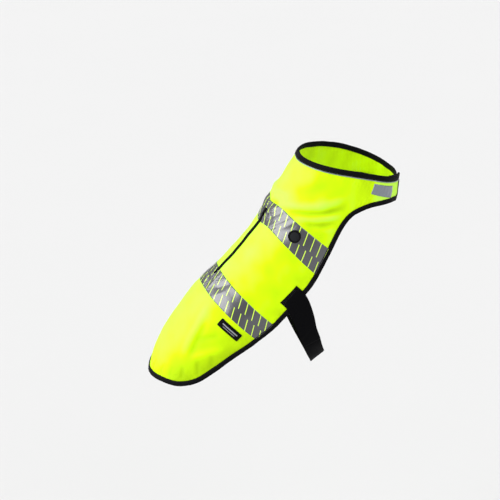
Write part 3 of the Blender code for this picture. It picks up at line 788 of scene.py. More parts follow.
def small_patch(name, place, size, corner, height, wall, material, spacing=PATCH_SPACING):
    """A small flat piece with round corners that follows the cloth and is a little crowned."""
    outline = rounded_rectangle(*size, corner, spacing)
    flat, faces = fill_flat(outline[:, ::-1], spacing, spacing / 3)
    station, angle = move_on_cloth(place[0], math.radians(place[1]), flat[:, 0], flat[:, 1])
    edge = np.minimum(size[0] / 2 - np.abs(flat[:, 1]), size[1] / 2 - np.abs(flat[:, 0]))
    crown = PATCH_CROWN * smoothstep(edge, 0.0, PATCH_CROWN_REACH)
    points = cloth_point(station, angle, height + crown)
    patch = add_piece(name, points, faces, material, flat[:, ::-1])
    add_wall(patch, wall)
    return patch


def along_edge(path, profile, spacing):
    """Rings of a profile carried along an edge, and their places on the cloth. A profile's
    points are the distance into the cloth from the edge and the height above its inner
    face."""
    station, angle = path
    ring, place = [], []
    gone = np.arange(len(station)) * spacing
    girth = 0.0
    before = profile[0]
    for into, height in profile:
        s, a = inset_path(station, angle, into)
        ring.append(cloth_point(s, a, height))
        girth += math.hypot(into - before[0], height - before[1])
        before = (into, height)
        place.append(np.stack([gone, np.full_like(gone, girth)], -1))
    return np.stack(ring, axis=1), np.stack(place, axis=1)


def swept_piece(name, rings, place, material):
    """A solid through closed rings of points, capped at both ends."""
    count = rings.shape[1]
    faces = ring_faces(len(rings), count)
    return add_piece(name, rings.reshape(-1, 3), faces, material, place.reshape(-1, 2))


def folded_profile(width, top, foot, wall):
    """Tape folded round a raw edge: puffed between its fold and its seam on both faces."""
    middle = (top + foot) / 2
    half = (top - foot) / 2
    outer = []
    for turn in np.radians(np.arange(90, 271, 22.5)):
        outer.append((half * (1 + math.cos(turn)) * 0.62, middle + half * math.sin(turn)))
    upper = [
        (into, top + BINDING_PUFF * math.sin(math.pi * min(into / (width * 0.8), 1.0)) - sunk)
        for into, sunk in (
            (width, 0.0003),
            (width * 0.93, 0.0),
            (width * 0.83, 0.0004),
            (width * 0.72, 0.0),
            (width * 0.50, 0.0),
            (width * 0.32, 0.0),
        )
    ]
    lower = [(into, 2 * middle - height) for into, height in reversed(upper)]
    inner = [
        (width, foot + wall),
        (wall * 1.6, foot + wall),
        (wall * 1.6, top - wall),
        (width, top - wall),
    ]
    return upper + outer + lower + inner


def stitch_row(name, path, height, trim, material):
    """Threads of a seam: one short rounded stitch every pitch along a path on the cloth."""
    station, angle = path
    length = lengths_along(cloth_point(station, angle, height))
    starts = np.arange(trim.stitch_pitch, length[-1] - trim.stitch, trim.stitch_pitch)
    along = starts[:, None] + STITCH_SHAPE[None, :, 0] * trim.stitch
    s, a = np.interp(along, length, station), np.interp(along, length, angle)
    thick = trim.thread_width / 2
    centre = cloth_point(s, a, height + STITCH_SHAPE[None, :, 2] * thick)
    up = outward(s, a)
    run = unit(np.gradient(centre, axis=1))
    side = unit(np.cross(up, run))
    turns = np.radians(np.arange(0, 360, 360 / STITCH_SIDES))[:, None]
    spread = side[:, :, None] * np.cos(turns) + up[:, :, None] * np.sin(turns)
    points = centre[:, :, None] + spread * (STITCH_SHAPE[:, 1] * thick)[None, :, None, None]
    rows = len(STITCH_SHAPE)
    one = np.arange(len(starts)) * rows * STITCH_SIDES
    faces = [tuple(first + i for i in face) for first in one for face in ring_faces(rows, STITCH_SIDES)]
    return add_piece(name, points.reshape(-1, 3), faces, material)


def strap_places(side, angles, shares, paired=False):
    """Stations and angles of the strap's points. shares are the places across its width."""
    station, width = np.moveaxis(strap_at(angles), -1, 0)
    angle = side * np.radians(angles)
    dense = np.linspace(STRAP_START, LEFT_STRAP_END, 400)
    dense_station = strap_at(dense)[..., 0]
    dense_angle = side * np.radians(dense)
    run = unit(np.gradient(body_point(dense_station, dense_angle), axis=0))
    across = np.cross(outward(dense_station, dense_angle), run)
    unit_s, unit_a = forward_and_around(*steps_of(dense_station, dense_angle))
    forward = np.interp(angles, dense, np.sum(across * unit_s, -1))
    around = np.interp(angles, dense, np.sum(across * unit_a, -1))
    if paired:
        offset = np.asarray(shares) * width
        return move_on_cloth(station, angle, forward * offset, around * offset)
    offset = np.asarray(shares) * width[:, None]
    return move_on_cloth(
        station[:, None] + 0 * offset,
        angle[:, None] + 0 * offset,
        forward[:, None] * offset,
        around[:, None] * offset,
    )


# Materials

# Settings of the node that gives a pattern its place on the cloth
ON_CLOTH = {"attribute_name": "cloth_place", "give": "Vector"}


def feed(node, values, named):
    """Sets a node's inputs, in turn and by name, or links them to the sockets given."""
    in_turn = [socket for socket in node.inputs if socket.enabled][: len(values)]
    by_name = [node.inputs[name.replace("_", " ")] for name in named]
    for socket, value in zip(in_turn + by_name, [*values, *named.values()]):
        if isinstance(value, bpy.types.NodeSocket):
            node.id_data.links.new(value, socket)
        elif socket.type == "RGBA":
            socket.default_value = (*value, 1.0)
        else:
            socket.default_value = value


def add_node(tree, kind, *values, give="Fac", **settings):
    """Adds a node and gives its output of that name, or else the first one in use. Settings
    with a capital are inputs, with underscores for spaces, and the others properties."""
    node = tree.nodes.new("ShaderNode" + kind)
    named = {name: value for name, value in settings.items() if name[0].isupper()}
    for name, value in settings.items():
        if name not in named:
            setattr(node, name, value)
    feed(node, values, named)
    return node.outputs.get(give) or next(socket for socket in node.outputs if socket.enabled)


def spots(millimetres):
    """Scale of a noise texture whose spots are this far apart."""
    return 1000 / millimetres


def bands(millimetres):
    """Scale of a wave texture whose bands are this far apart."""
    return 1000 * 2 * math.pi / 20 / millimetres


def finish(build, name, *settings):
    """The material of this name. It is made the first time that a piece asks for it, and
    build gives the inputs of its surface."""
    material = bpy.data.materials.get(name)
    if material is None:
        material = bpy.data.materials.new(name)
        material.use_nodes = True
        tree = material.node_tree
        feed(tree.nodes["Principled BSDF"], (), build(tree, *settings))
    return material


def yellow_polyester(tree, vest):
    """Fluorescent polyester, woven and piece-dyed. It gives the eye an even, glowing yellow
    with hardly a highlight, with painted light on the back and the crests and painted shade in
    the troughs and at the tail's edge, and its weave shows only from near."""
    place = add_node(tree, "Attribute", **ON_CLOTH)
    # uneven dye, in clouds some centimetres wide
    cloud = add_node(tree, "TexNoise", place, spots(55.56), Detail=3.0, Roughness=0.5)
    spread = add_node(tree, "MapRange", cloud, 0.35, 0.65)
    tone = add_node(tree, "Attribute", attribute_name="painted_light_tone")
    uneven = add_node(tree, "Math", spread, CLOUD_TONE, tone, operation="MULTIPLY_ADD")
    # painted shade, then the usual colour, then painted light
    usual = add_node(tree, "MapRange", uneven, *USUAL_TONES)
    painted_light = add_node(tree, "MapRange", uneven, *PAINTED_LIGHT_TONES)
    shaded = add_node(tree, "Mix", usual, vest.yellow_painted_shade, vest.yellow, data_type="RGBA")
    lit_and_shaded = add_node(tree, "Mix", painted_light, shaded, vest.yellow_painted_light, data_type="RGBA")
    # threads 0.3 mm apart are too fine to show, so they are drawn 0.9 mm apart
    threads = {"Scale": bands(0.9), "Distortion": 0.6, "Detail": 1.0, "Detail_Scale": 2.0}
    warp = add_node(tree, "TexWave", place, bands_direction="X", **threads)
    weft = add_node(tree, "TexWave", place, bands_direction="Y", **threads)
    weave = add_node(tree, "Math", warp, weft, operation="MULTIPLY")
    fine = add_node(tree, "Bump", Strength=0.10, Distance=0.0002, Height=weave)
    # soft wrinkles about 13 mm apart, which are too small for the mesh
    wrinkle = add_node(
        tree, "TexNoise", place, spots(13.333), Detail=2.0, Roughness=0.45, Distortion=0.4
    )
    soft = add_node(tree, "Bump", Strength=0.25, Distance=0.0012, Height=wrinkle, Normal=fine)
    # painted glow: a constant emission, the same under every lamp, stands in for the dye
    # turning unseen light into yellow-green, so the cloth outshines white paper
    glow = dict(Emission_Color=vest.glow, Emission_Strength=0.05)
    return dict(Base_Color=lit_and_shaded, Roughness=0.60, Specular_IOR_Level=0.10, Normal=soft, **glow)


def ribbed_black(tree, colour, rib, direction, roughness, gloss):
    """Black polyester grosgrain or elastic, woven with ribs across or along it. The ribs,
    given in millimetres, break up its dull shine, so the eye sees a soft deep black."""
    place = add_node(tree, "Attribute", **ON_CLOTH)
    pattern = {"Distortion": 0.8, "Detail": 1.0, "Detail_Scale": 1.5}
    ribs = add_node(tree, "TexWave", place, bands(rib), bands_direction=direction, **pattern)
    bump = add_node(tree, "Bump", Strength=0.5, Distance=0.0003, Height=ribs)
    return dict(Base_Color=colour, Roughness=roughness, Specular_IOR_Level=gloss, Normal=bump)


def binding_black(trim):
    return finish(ribbed_black, "black_grosgrain_binding", trim.black, 1.1, "X", 0.62, 0.08)


def reflective_film(tree, film, film_light):
    """Reflective film of glass beads under a clear skin, laminated on cloth. It gives the
    eye a dark metallic grey that turns silvery white where it faces the light."""
    place = add_node(tree, "Attribute", **ON_CLOTH)
    # beads 0.06 mm wide are too fine to show, so their grain is drawn 1.1 mm wide
    grain = add_node(tree, "TexNoise", place, spots(1.111), Detail=2.0)
    beads = add_node(tree, "Mix", grain, film, film_light, data_type="RGBA")
    # crumples of the film, about 8 mm apart
    crumple = add_node(
        tree, "TexNoise", place, spots(8.333), Detail=3.0, Roughness=0.55, Distortion=0.5
    )
    bump = add_node(tree, "Bump", Strength=0.5, Distance=0.0012, Height=crumple)
    metal = dict(Metallic=FILM_METAL, Roughness=FILM_ROUGHNESS, Specular_IOR_Level=1.0)
    clear_skin = dict(Coat_Weight=1.0, Coat_Roughness=0.22, Coat_IOR=1.8)
    return dict(Base_Color=beads, Normal=bump, **metal, **clear_skin)


def plain_film(tape):
    return finish(reflective_film, "plain_reflective_film", tape.plain_film, tape.plain_film)


def segmented_film(tree, tape):
    """The reflective film with its slanted cuts, through which the yellow cloth shows. Two
    rows of cuts run in from the tape's edges, half a pitch apart."""
    surface = reflective_film(tree, tape.film, tape.film_light)
    parts = add_node(tree, "SeparateXYZ", add_node(tree, "Attribute", **ON_CLOTH)).node.outputs
    along, across = parts["X"], parts["Y"]
    slanted = add_node(tree, "Math", across, tape.line_slant, along, operation="MULTIPLY_ADD")
    turns = add_node(tree, "Math", slanted, tape.line_pitch, operation="DIVIDE")
    half_line = tape.line_width / tape.line_pitch / 2
    reach = TAPE_WIDTH * (0.5 - tape.line_share)
    rows = []
    for shift, sign in ((0.0, 1.0), (0.5, -1.0)):
        turn = add_node(tree, "Math", turns, shift, operation="ADD")
        turn = add_node(tree, "Math", turn, operation="FRACT")
        line = add_node(tree, "Math", turn, 0.5, half_line, operation="COMPARE")
        side = add_node(tree, "Math", across, sign, operation="MULTIPLY")
        side = add_node(tree, "Math", side, reach, operation="GREATER_THAN")
        rows.append(add_node(tree, "Math", line, side, operation="MULTIPLY"))
    cuts = add_node(tree, "Math", *rows, operation="MAXIMUM")
    beads = surface["Base_Color"]
    colour = add_node(tree, "Mix", cuts, beads, tape.line_yellow, data_type="RGBA")
    # the cloth in the cuts is neither metallic nor smooth
    metallic = add_node(tree, "MapRange", cuts, 0.0, 1.0, FILM_METAL, 0.0)
    roughness = add_node(tree, "MapRange", cuts, 0.0, 1.0, FILM_ROUGHNESS, 0.6)
    return surface | dict(Base_Color=colour, Metallic=metallic, Roughness=roughness)


def moulded_rubber(tree, trim):
    """Soft rubber, moulded in a blasted mould. Its grain leaves it matt: a dark face inside
    a rim that is blacker still."""
    place = add_node(tree, "Attribute", **ON_CLOTH)
    radius = add_node(tree, "VectorMath", place, operation="LENGTH")
    face = BADGE_RADIUS * BADGE_FACE_SHARE
    rim = add_node(tree, "Math", radius, face, operation="GREATER_THAN")
    colour = add_node(tree, "Mix", rim, trim.rubber_face, trim.rubber, data_type="RGBA")
    # the mould's grain of 0.1 mm is too fine to show, so it is drawn at 0.6 mm
    grain = add_node(tree, "TexNoise", place, spots(0.625), Detail=2.0)
    bump = add_node(tree, "Bump", Strength=0.2, Distance=0.0001, Height=grain)
    return dict(Base_Color=colour, Roughness=0.65, Specular_IOR_Level=0.10, Normal=bump)


def twisted_thread(tree, colour):
    """Polyester sewing thread, twisted. It has a slight gloss, so the stitches stand out
    from the dull tape. Its twist of 0.4 mm is drawn as a grain."""
    place = add_node(tree, "TexCoord", give="Object")
    twist = add_node(tree, "TexNoise", place, spots(0.4), Detail=1.0)
    bump = add_node(tree, "Bump", Strength=0.4, Distance=0.0001, Height=twist)
    return dict(Base_Color=colour, Roughness=0.5, Specular_IOR_Level=0.5, Normal=bump)


def sewing_thread(trim):
    return finish(twisted_thread, "black_sewing_thread", trim.thread)


def label_ribbon(tree, trim):
    """Black polyester satin ribbon, woven on a label loom. It is a dull black on which the
    two light bars stand out; they are plain and take the place of words."""
    place = add_node(tree, "Attribute", **ON_CLOTH)
    parts = add_node(tree, "SeparateXYZ", place).node.outputs
    bars = []
    for middle, half_height, half_length in LABEL_BARS:
        across = add_node(tree, "Math", parts["Y"], middle, half_height, operation="COMPARE")
        along = add_node(tree, "Math", parts["X"], 0.0, half_length, operation="COMPARE")
        bars.append(add_node(tree, "Math", across, along, operation="MULTIPLY"))
    either = add_node(tree, "Math", *bars, operation="MAXIMUM")
    colour = add_node(tree, "Mix", either, trim.label, trim.label_bar, data_type="RGBA")
    # threads 0.15 mm apart are too fine to show, so they are drawn 0.6 mm apart
    weave = add_node(tree, "TexWave", place, bands(0.6), Distortion=0.5, bands_direction="X")
    bump = add_node(tree, "Bump", Strength=0.35, Distance=0.0002, Height=weave)
    return dict(Base_Color=colour, Roughness=0.6, Specular_IOR_Level=0.08, Normal=bump)


def backdrop_paper(tree, shade, shade_light):
    """Studio paper, rolled matt: nearly white and without a shine, so that it takes only
    the softest shadow."""
    place = add_node(tree, "TexCoord", give="Object")
    # the sheet's faint clouds, a third of a metre apart
    cloud = add_node(tree, "TexNoise", place, spots(333.3), Detail=2.0)
    tone = add_node(tree, "Mix", cloud, shade, shade_light, data_type="RGBA")
    return dict(Base_Color=tone, Roughness=0.9, Specular_IOR_Level=0.0)


# Settings a user would change


def colour_setting(name, description, hex_colour):
    return FloatVectorProperty(
        name=name,
        description=description,
        default=linear(hex_colour),
        subtype="COLOR",
        min=0.0,
        max=1.0,
    )


def length_setting(name, description, default, least, most=100.0):
    return FloatProperty(
        name=name, description=description, default=default, min=least, max=most, unit="LENGTH"
    )


class VestSettings(bpy.types.PropertyGroup):
    spacing: length_setting(
        "Mesh spacing", "Distance between the points of the cloth's mesh", 0.003, 0.002, 0.010
    )
    wall: length_setting(
        "Cloth wall", "Thickness of the yellow cloth with its lining", 0.0012, 0.0005, 0.003
    )
    yellow: colour_setting("Yellow", "Main colour of the cloth", "#C5EF00")
    # the deeper yellow is painted shade and the paler yellow painted light, both laid into the cloth's
    # colour
    yellow_painted_shade: colour_setting("Deeper yellow", "Colour of the painted shade in troughs and at the tail's edge", "#9DC200")
    yellow_painted_light: colour_setting("Paler yellow", "Colour of the painted light on the back and the crests", "#BEF858")
    glow: colour_setting("Dye glow", "Colour of the light that the dye gives back", "#D2FF00")


class TrimSettings(bpy.types.PropertyGroup):
    black: colour_setting("Black trim", "Colour of the bindings and the straps", "#040406")
    thread: colour_setting("Black thread", "Colour of the stitches on black trims", "#121318")
    rubber: colour_setting("Badge rubber", "Colour of the moulded badge's rim", "#050506")
    rubber_face: colour_setting("Badge face", "Colour of the sunk face in the rim", "#1B1D1F")
    label: colour_setting("Label ribbon", "Colour of the label's ground", "#040405")
    label_bar: colour_setting("Label bars", "Colour of the label's plain bars", "#8A8C92")
    stitch: length_setting(
        "Stitch length", "Length of one stitch on the surface", 0.0024, 0.001, 0.006
    )
    stitch_pitch: length_setting(
        "Stitch pitch", "Distance from one stitch to the next", 0.0034, 0.0015, 0.008
    )
    thread_width: length_setting("Thread", "Diameter of the thread", 0.0005, 0.0002, 0.001)


class TapeSettings(bpy.types.PropertyGroup):
    film: colour_setting("Film", "Colour of the film away from the light", "#1B1D25")
    film_light: colour_setting("Film grain", "Colour of the film's lighter grains", "#272932")
    plain_film: colour_setting("Plain film", "Colour of the piping and chest patches", "#656F79")
    line_yellow: colour_setting("Lines", "Colour that shows in the film's cuts", "#CBF200")
    line_pitch: length_setting(
        "Line pitch", "Distance along the tape from one cut of a row to the next", 0.0178, 0.005
    )
    line_width: length_setting("Line width", "Width of a cut, along the tape", 0.0020, 0.0005)
    line_slant: FloatProperty(
        name="Line slant",
        description="Run along the tape for each unit that a cut goes across it",
        default=0.50,
        min=0.0,
        max=3.0,
    )
    line_share: FloatProperty(
        name="Line reach",
        description="Share of the tape's width that a cut crosses from its edge",
        default=0.46,
        min=0.1,
        max=1.0,
        subtype="FACTOR",
    )
    thickness: length_setting(
        "Film thickness", "Thickness of the reflective tape", 0.0003, 0.0001, 0.001
    )


class StageSettings(bpy.types.PropertyGroup):
    azimuth: FloatProperty(
        name="Camera azimuth",
        description="Direction of the camera round the vest, from its right side",
        default=math.radians(-12.0),
        subtype="ANGLE",
    )
    elevation: FloatProperty(
        name="Camera elevation",
        description="Height of the camera above the horizon",
        default=math.radians(23.0),
        subtype="ANGLE",
    )
    distance: length_setting(
        "Camera distance", "Distance from the camera to the middle of the picture", 4.0, 1.0
    )
    picture_width: length_setting("Picture width", "Width of the picture at the vest", 1.025, 0.3)
    floor_height: length_setting("Floor height", "Height of the studio floor", -1.1, -10.0)
    paper: colour_setting("Paper", "Colour of the studio paper", "#DFDFDF")
    paper_light: colour_setting("Paper clouds", "Colour of its lighter clouds", "#E0E0E0")


# Operators, in the order in which the vest is sewn


class VEST_OT_back_panel(bpy.types.Operator):
    """Cut and drape the yellow back panel with its two chest flaps"""

    bl_idname = "vest.back_panel"
    bl_label = "Back panel"

    def execute(self, context):
        vest = context.scene.vest
        yellow = finish(yellow_polyester, "fluorescent_yellow_woven_polyester", vest)
        outline = panel_outline(RAW_EDGE_INSET, vest.spacing)
        flat, faces = fill_flat(outline, vest.spacing, vest.spacing * 0.42)
        station, angle = flat[:, 0], flat[:, 1] / ANGLE_SCALE
        bed = tape_bed(station, angle)
        points = cloth_point(station, angle, CLOTH_TOP - vest.wall / 2 - bed)
        # painted light on the back and the crests, painted shade in the troughs and at the tail's edge
        tone = painted_light_tone(station, angle)
        panel = add_piece("yellow_back_panel", points, faces, yellow, flat, tone)
        add_wall(panel, vest.wall)
        hold(panel, "yellow_cloth", "back_panel", sewn_on=None)
        a, b, c = (points[np.array(faces)[:, i]] for i in range(3))
        round_neck = float(np.ptp(flat[:, 1])) * NECK_SHARE
        return {"FINISHED"}


class VEST_OT_bindings(bpy.types.Operator):
    """Fold the black bindings round the neck edge and the lower edge, and stitch them"""

    bl_idname = "vest.bindings"
    bl_label = "Bindings"

    def execute(self, context):
        trim = context.scene.vest_trim
        profile = folded_profile(BINDING_WIDTH, BINDING_TOP, BINDING_FOOT, BINDING_WALL)
        neck_foot, _ = move_on_cloth(
            NECK_STATION, math.radians(RIGHT_FLAP_END), -BINDING_WIDTH - SEAM_GAP, 0.0
        )
        for name, path, node in (
            ("lower_binding", lower_edge_path(BINDING_SPACING), "lower_edge_binding"),
            ("neck_edge_binding", neck_path(BINDING_SPACING), "neck_binding"),
        ):
            rings, place = along_edge(path, profile, BINDING_SPACING)
            seam = inset_path(*path, BINDING_WIDTH * BINDING_SEAM)
            if node == "lower_edge_binding":
                # the lower binding ends where the neck binding runs over the flap's corner
                inner_station, _ = inset_path(*path, BINDING_WIDTH)
                kept = np.maximum(path[0], inner_station) < neck_foot
                rings, place = rings[kept], place[kept]
                seam = seam[0][kept], seam[1][kept]
            piece = swept_piece(name, rings, place, binding_black(trim))
            hold(piece, "black_binding", node)
            for face, height in (
                ("outer", BINDING_TOP + OUTER_THREAD_RISE),
                ("inner", BINDING_FOOT - INNER_THREAD_DROP),
            ):
                row = stitch_row(f"{name}_{face}_stitches", seam, height, trim, sewing_thread(trim))
                hold(row, "black_binding")
        return {"FINISHED"}


class VEST_OT_neck_piping(bpy.types.Operator):
    """Lay the thin reflective piping beside the neck binding"""

    bl_idname = "vest.neck_piping"
    bl_label = "Neck piping"

    def execute(self, context):
        profile = [
            (
                PIPING_START + PIPING_WIDTH * (1 - math.cos(turn)) / 2,
                PIPING_FOOT + PIPING_HEIGHT * math.sin(turn),
            )
            for turn in np.radians(np.arange(180, -1, -30))
        ]
        station, angle = neck_path(PIPING_SPACING)
        right_end = math.radians(RIGHT_FLAP_END - PIPING_SHORT)
        left_end = math.radians(LEFT_FLAP_END - PIPING_SHORT)
        inside = (angle < right_end) & (angle > -left_end)
        rings, place = along_edge((station, angle), profile, PIPING_SPACING)
        film = plain_film(context.scene.vest_tape)
        piping = swept_piece("neck_reflective_piping", rings[inside], place[inside], film)
        hold(piping, "reflective_tape", "neck_piping")
        return {"FINISHED"}


class VEST_OT_reflective_tapes(bpy.types.Operator):
    """Press the two segmented reflective tapes onto the back"""

    bl_idname = "vest.reflective_tapes"
    bl_label = "Reflective tapes"

    def execute(self, context):
        tape = context.scene.vest_tape
        film = finish(segmented_film, "segmented_reflective_film", tape)
        across = np.linspace(-TAPE_WIDTH / 2, TAPE_WIDTH / 2, TAPE_ROWS)
        share = np.linspace(-1.0, 1.0, TAPE_COLUMNS)
        centre = TAPE_ROWS // 2
        for name, node, middle, dip in (
            ("lower_segmented_tape", "lower_reflective_tape", LOWER_TAPE_STATION, 0.0),
            ("upper_segmented_tape", "upper_reflective_tape", UPPER_TAPE_STATION, UPPER_TAPE_DIP),
        ):
            edge = edge_angle_at(across + middle, BINDING_WIDTH - TAPE_UNDER_BINDING)
            angle = edge[:, None] * share[None]
            station = across[:, None] + tape_middle(middle, dip, angle)
            height = CLOTH_TOP + TAPE_CLEARANCE + tape.thickness / 2
            height = height + crumple_height(across[:, None], angle)
            # both ends climb the seam allowance of the binding and catch the light
            height = height + TAPE_END_RISE * smoothstep(np.abs(share)[None], *TAPE_END_SHARES)
            points = cloth_point(station, angle, height)
            step_s, step_a = steps_of(station[centre], angle[centre])
            steps = np.gradient(angle[centre]) * np.linalg.norm(step_a, axis=-1)
            along = np.cumsum(steps) - steps.sum() / 2
            lean = np.sum(step_s * unit(step_a), -1)
            place = np.stack([along + lean * across[:, None], across[:, None] + 0 * along], -1)
            faces = grid_faces(TAPE_ROWS, TAPE_COLUMNS)
            piece = add_piece(name, points.reshape(-1, 3), faces, film, place.reshape(-1, 2))
            add_wall(piece, tape.thickness)
            hold(piece, "reflective_tape", node)
        return {"FINISHED"}


class VEST_OT_lead_opening(bpy.types.Operator):
    """Bind the closed lead opening on the spine and sew the tab over its front end"""

    bl_idname = "vest.lead_opening"
    bl_label = "Lead opening"

    def execute(self, context):
        black = binding_black(context.scene.vest_trim)
        station = np.arange(SLIT_REAR, SLIT_FRONT + 0.001, SLIT_SPACING)
        full = smoothstep(station, SLIT_REAR, SLIT_REAR + SLIT_TAPER)
        half = SLIT_WIDTH / 2 * (SLIT_END_SHARE + (1 - SLIT_END_SHARE) * full)
        line = np.radians(slit_angle_at(station)[..., 0])
        # two round lips side by side, with a shallow seam between them
        profile = []
        for lip in (-1.0, 1.0):
            for turn in np.radians(np.arange(180, -1, -30)):
                across = 0.5 * lip + 0.5 * math.cos(turn)
                profile.append((across, max(math.sin(turn), 0.7 - abs(across))))
        ring, place = [], []
        for order, (share, up) in enumerate(profile):
            s, a = move_on_cloth(station, line, 0.0 * station, half * share)
            ring.append(cloth_point(s, a, LIP_FOOT + LIP_HEIGHT * up))
            place.append(np.stack([station, np.full_like(station, order * LIP_STEP)], -1))
        lips = swept_piece("lead_opening_lips", np.stack(ring, 1), np.stack(place, 1), black)
        hold(lips, "black_binding", "slit_binding")
        tab_station = SLIT_FRONT + SEAM_GAP + SLIT_TAB_LENGTH / 2
        tab_place = tab_station, float(slit_angle_at(tab_station)[0])
        tab_size = SLIT_TAB_WIDTH, SLIT_TAB_LENGTH
        tab = small_patch("lead_opening_tab", tab_place, tab_size, *TAB_FORM, black, TAB_SPACING)
        hold(tab, "black_binding", "slit_end_tab")
        return {"FINISHED"}


class VEST_OT_badge(bpy.types.Operator):
    """Mould the round rubber badge with its raised rim, left without a mark"""

    bl_idname = "vest.badge"
    bl_label = "Badge"

    def execute(self, context):
        rubber = finish(moulded_rubber, "moulded_rubber", context.scene.vest_trim)
        turns = np.radians(np.arange(0, 360, 5))
        circle = np.stack([np.sin(turns), np.cos(turns)], -1)
        station, angle = BADGE_PLACE
        rings = []
        for share, height in BADGE_PROFILE:
            forward, around = BADGE_RADIUS * share * circle.T
            s, a = move_on_cloth(station, math.radians(angle), forward, around)
            rings.append(cloth_point(s, a, BADGE_FOOT + height))
        place = np.vstack([BADGE_RADIUS * share * circle for share, _ in BADGE_PROFILE])
        faces = ring_faces(len(rings), len(turns))
        badge = add_piece("moulded_badge", np.vstack(rings), faces, rubber, place)
        hold(badge, "rubber", "rubber_badge")
        return {"FINISHED"}


class VEST_OT_label(bpy.types.Operator):
    """Sew the woven label on the rump, with plain bars in place of words"""

    bl_idname = "vest.label"
    bl_label = "Woven label"

    def execute(self, context):
        ribbon = finish(label_ribbon, "black_woven_label_ribbon", context.scene.vest_trim)
        label = small_patch("woven_side_label", LABEL_PLACE, LABEL_SIZE, *LABEL_FORM, ribbon)
        hold(label, "label_ribbon", "woven_label")
        return {"FINISHED"}


class VEST_OT_chest_patches(bpy.types.Operator):
    """Press the small reflective patches onto the chest flaps"""

    bl_idname = "vest.chest_patches"
    bl_label = "Chest patches"

    def execute(self, context):
        film = plain_film(context.scene.vest_tape)
        station, angle = CHEST_PATCH_PLACE
        for side, sign in (("right", 1.0), ("left", -1.0)):
            name = f"{side}_chest_reflector"
            place = station, sign * angle
            patch = small_patch(name, place, CHEST_PATCH_SIZE, *CHEST_PATCH_FORM, film)
            hold(patch, "reflective_tape", f"chest_patch_{side}")
        return {"FINISHED"}


class VEST_OT_belly_strap(bpy.types.Operator):
    """Sew on the two elastic pieces of the belly strap, closed under the belly"""

    bl_idname = "vest.belly_strap"
    bl_label = "Belly strap"

    def execute(self, context):
        trim = context.scene.vest_trim
        elastic = finish(ribbed_black, "black_woven_elastic", trim.black, 1.6, "Y", 0.65, 0.05)
        shares = np.linspace(-0.5, 0.5, STRAP_COLUMNS)
        edge = STRAP_EDGE_DROP * smoothstep(np.abs(shares), 0.40, 0.5)
        for name, node, side, end, settled in (
            ("right_elastic_strap", "belly_strap_right", 1.0, RIGHT_STRAP_END, RIGHT_STRAP_OVER_LEFT),
            ("left_elastic_strap", "belly_strap_left", -1.0, LEFT_STRAP_END, LEFT_STRAP_ON_BODY),
        ):
            angles = np.arange(STRAP_START, end + 0.5, 1.0)
            bottom = STRAP_BASE + (STRAP_OVER_BINDING - STRAP_BASE) * smoothstep(angles, *STRAP_RISE)
            bottom = bottom + (settled - STRAP_OVER_BINDING) * smoothstep(angles, *STRAP_SETTLE)
            station, angle = strap_places(side, angles, shares)
            lap = angles[:, None] + STRAP_LAP_SLANT * shares
            raised = smoothstep(lap, *STRAP_LAP_RISE) * (1 - smoothstep(lap, *STRAP_LAP_FALL))
            lift = bottom[:, None] + STRAP_MIDDLE - edge[None] + STRAP_LAP_HEIGHT * raised
            points = cloth_point(station, angle, lift)
            along = lengths_along(points[:, STRAP_COLUMNS // 2])
            widths = strap_at(angles)[:, 1]
            place = np.stack([along[:, None] + 0 * shares, widths[:, None] * shares], -1)
            faces = grid_faces(len(angles), STRAP_COLUMNS)
            if side < 0:
                faces = [tuple(reversed(face)) for face in faces]
            strap = add_piece(name, points.reshape(-1, 3), faces, elastic, place.reshape(-1, 2))
            add_wall(strap, STRAP_WALL)
            hold(strap, "black_strap", node, sewn_on=None)
            print(f"{name}: {widths.max():.3f} to {widths.min():.3f} x {along[-1]:.3f} m")
            for order, (inset, first, last) in enumerate(STRAP_SEAMS):
                share = 0.5 - inset / widths[0]
                rows = np.linspace(first, last, 12)
                columns = np.linspace(-share, share, 20)
                loop_angles = np.concatenate([rows[::-1], np.full(20, first), rows])
                loop_shares = np.concatenate([np.full(12, -share), columns, np.full(12, share)])
                path = strap_places(side, loop_angles, loop_shares, paired=True)
                height = STRAP_BASE + STRAP_THREAD_RISE
                seam = stitch_row(f"{name}_seam_{order}", path, height, trim, sewing_thread(trim))
                hold(seam, "black_strap", sewn_on=name)
        return {"FINISHED"}


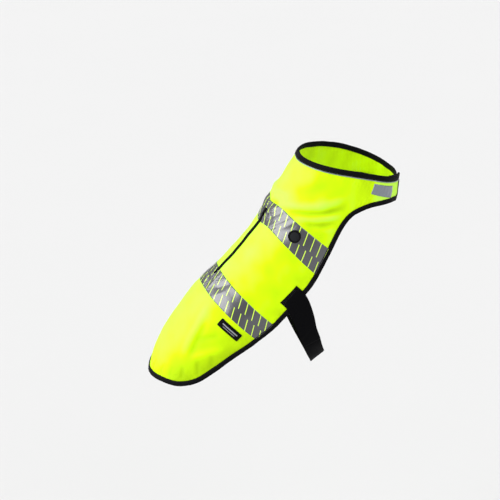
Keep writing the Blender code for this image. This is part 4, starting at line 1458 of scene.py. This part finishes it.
class VEST_OT_stage(bpy.types.Operator):
    """Set the floor, the lights and the camera of the studio"""

    bl_idname = "vest.stage"
    bl_label = "Studio"

    def execute(self, context):
        scene = context.scene
        stage = scene.vest_stage
        paper = finish(backdrop_paper, "matt_studio_paper", stage.paper, stage.paper_light)
        corners = [
            (FLOOR_REACH * x, FLOOR_REACH * y, stage.floor_height)
            for x, y in ((-1, -1), (1, -1), (1, 1), (-1, 1))
        ]
        add_piece("studio_floor", corners, [(0, 1, 2, 3)], paper)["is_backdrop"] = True

        world = bpy.data.worlds.new("soft_studio_fill")
        world.use_nodes = True
        fill = world.node_tree.nodes["Background"]
        fill.inputs["Color"].default_value = (1.0, 1.0, 1.0, 1.0)
        fill.inputs["Strength"].default_value = FILL_STRENGTH
        scene.world = world
        scene.view_settings.view_transform = "Standard"

        sin_a, cos_a = math.sin(stage.azimuth), math.cos(stage.azimuth)
        sin_e, cos_e = math.sin(stage.elevation), math.cos(stage.elevation)
        right = Vector((cos_a, sin_a, 0.0))
        up = Vector((-sin_a * sin_e, cos_a * sin_e, cos_e))
        back = Vector((sin_a * cos_e, -cos_a * cos_e, sin_e))
        data = bpy.data.cameras.new("studio_camera")
        data.lens = data.sensor_width * stage.distance / stage.picture_width
        data.clip_end = 100.0
        camera = bpy.data.objects.new("studio_camera", data)
        camera.location = right * PICTURE_MIDDLE[0] + up * PICTURE_MIDDLE[1] + back * stage.distance
        camera.rotation_euler = (-back).to_track_quat("-Z", "Y").to_euler()
        vest_collection().objects.link(camera)
        scene.camera = camera

        for name, towards, spread, strength in LIGHTS:
            lamp = bpy.data.lights.new(name, "SUN")
            lamp.angle = math.radians(spread)
            lamp.energy = strength
            light = bpy.data.objects.new(name, lamp)
            light.rotation_euler = (-Vector(towards)).to_track_quat("-Z", "Y").to_euler()
            vest_collection().objects.link(light)
        return {"FINISHED"}


class VEST_PT_sidebar(bpy.types.Panel):
    bl_label = "Safety vest"
    bl_idname = "VEST_PT_sidebar"
    bl_space_type = "VIEW_3D"
    bl_region_type = "UI"
    bl_category = "Vest"

    def draw(self, context):
        scene = context.scene
        for group in (scene.vest, scene.vest_trim, scene.vest_tape, scene.vest_stage):
            box = self.layout.box()
            for name in group.__annotations__:
                box.prop(group, name)
        for operator in OPERATORS:
            self.layout.operator(operator.bl_idname)


OPERATORS = (
    VEST_OT_back_panel,
    VEST_OT_bindings,
    VEST_OT_neck_piping,
    VEST_OT_reflective_tapes,
    VEST_OT_lead_opening,
    VEST_OT_badge,
    VEST_OT_label,
    VEST_OT_chest_patches,
    VEST_OT_belly_strap,
    VEST_OT_stage,
)
GROUPS = {
    "vest": VestSettings,
    "vest_trim": TrimSettings,
    "vest_tape": TapeSettings,
    "vest_stage": StageSettings,
}


def register():
    for group in (*GROUPS.values(), *OPERATORS, VEST_PT_sidebar):
        bpy.utils.register_class(group)
    for name, group in GROUPS.items():
        setattr(bpy.types.Scene, name, PointerProperty(type=group))


def unregister():
    for name in GROUPS:
        delattr(bpy.types.Scene, name)
    for group in (VEST_PT_sidebar, *reversed(OPERATORS), *reversed(GROUPS.values())):
        bpy.utils.unregister_class(group)


def main():
    """Builds the vest piece by piece, then the studio."""
    register()
    bpy.ops.vest.back_panel()
    bpy.ops.vest.bindings()
    bpy.ops.vest.neck_piping()
    bpy.ops.vest.reflective_tapes()
    bpy.ops.vest.lead_opening()
    bpy.ops.vest.badge()
    bpy.ops.vest.label()
    bpy.ops.vest.chest_patches()
    bpy.ops.vest.belly_strap()
    bpy.ops.vest.stage()
    boxes = {"cad": CAD_BOX, "visual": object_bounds()}
    sizes = {name: [[float(v) for v in corner] for corner in box] for name, box in boxes.items()}


if __name__ == "__main__":
    main()
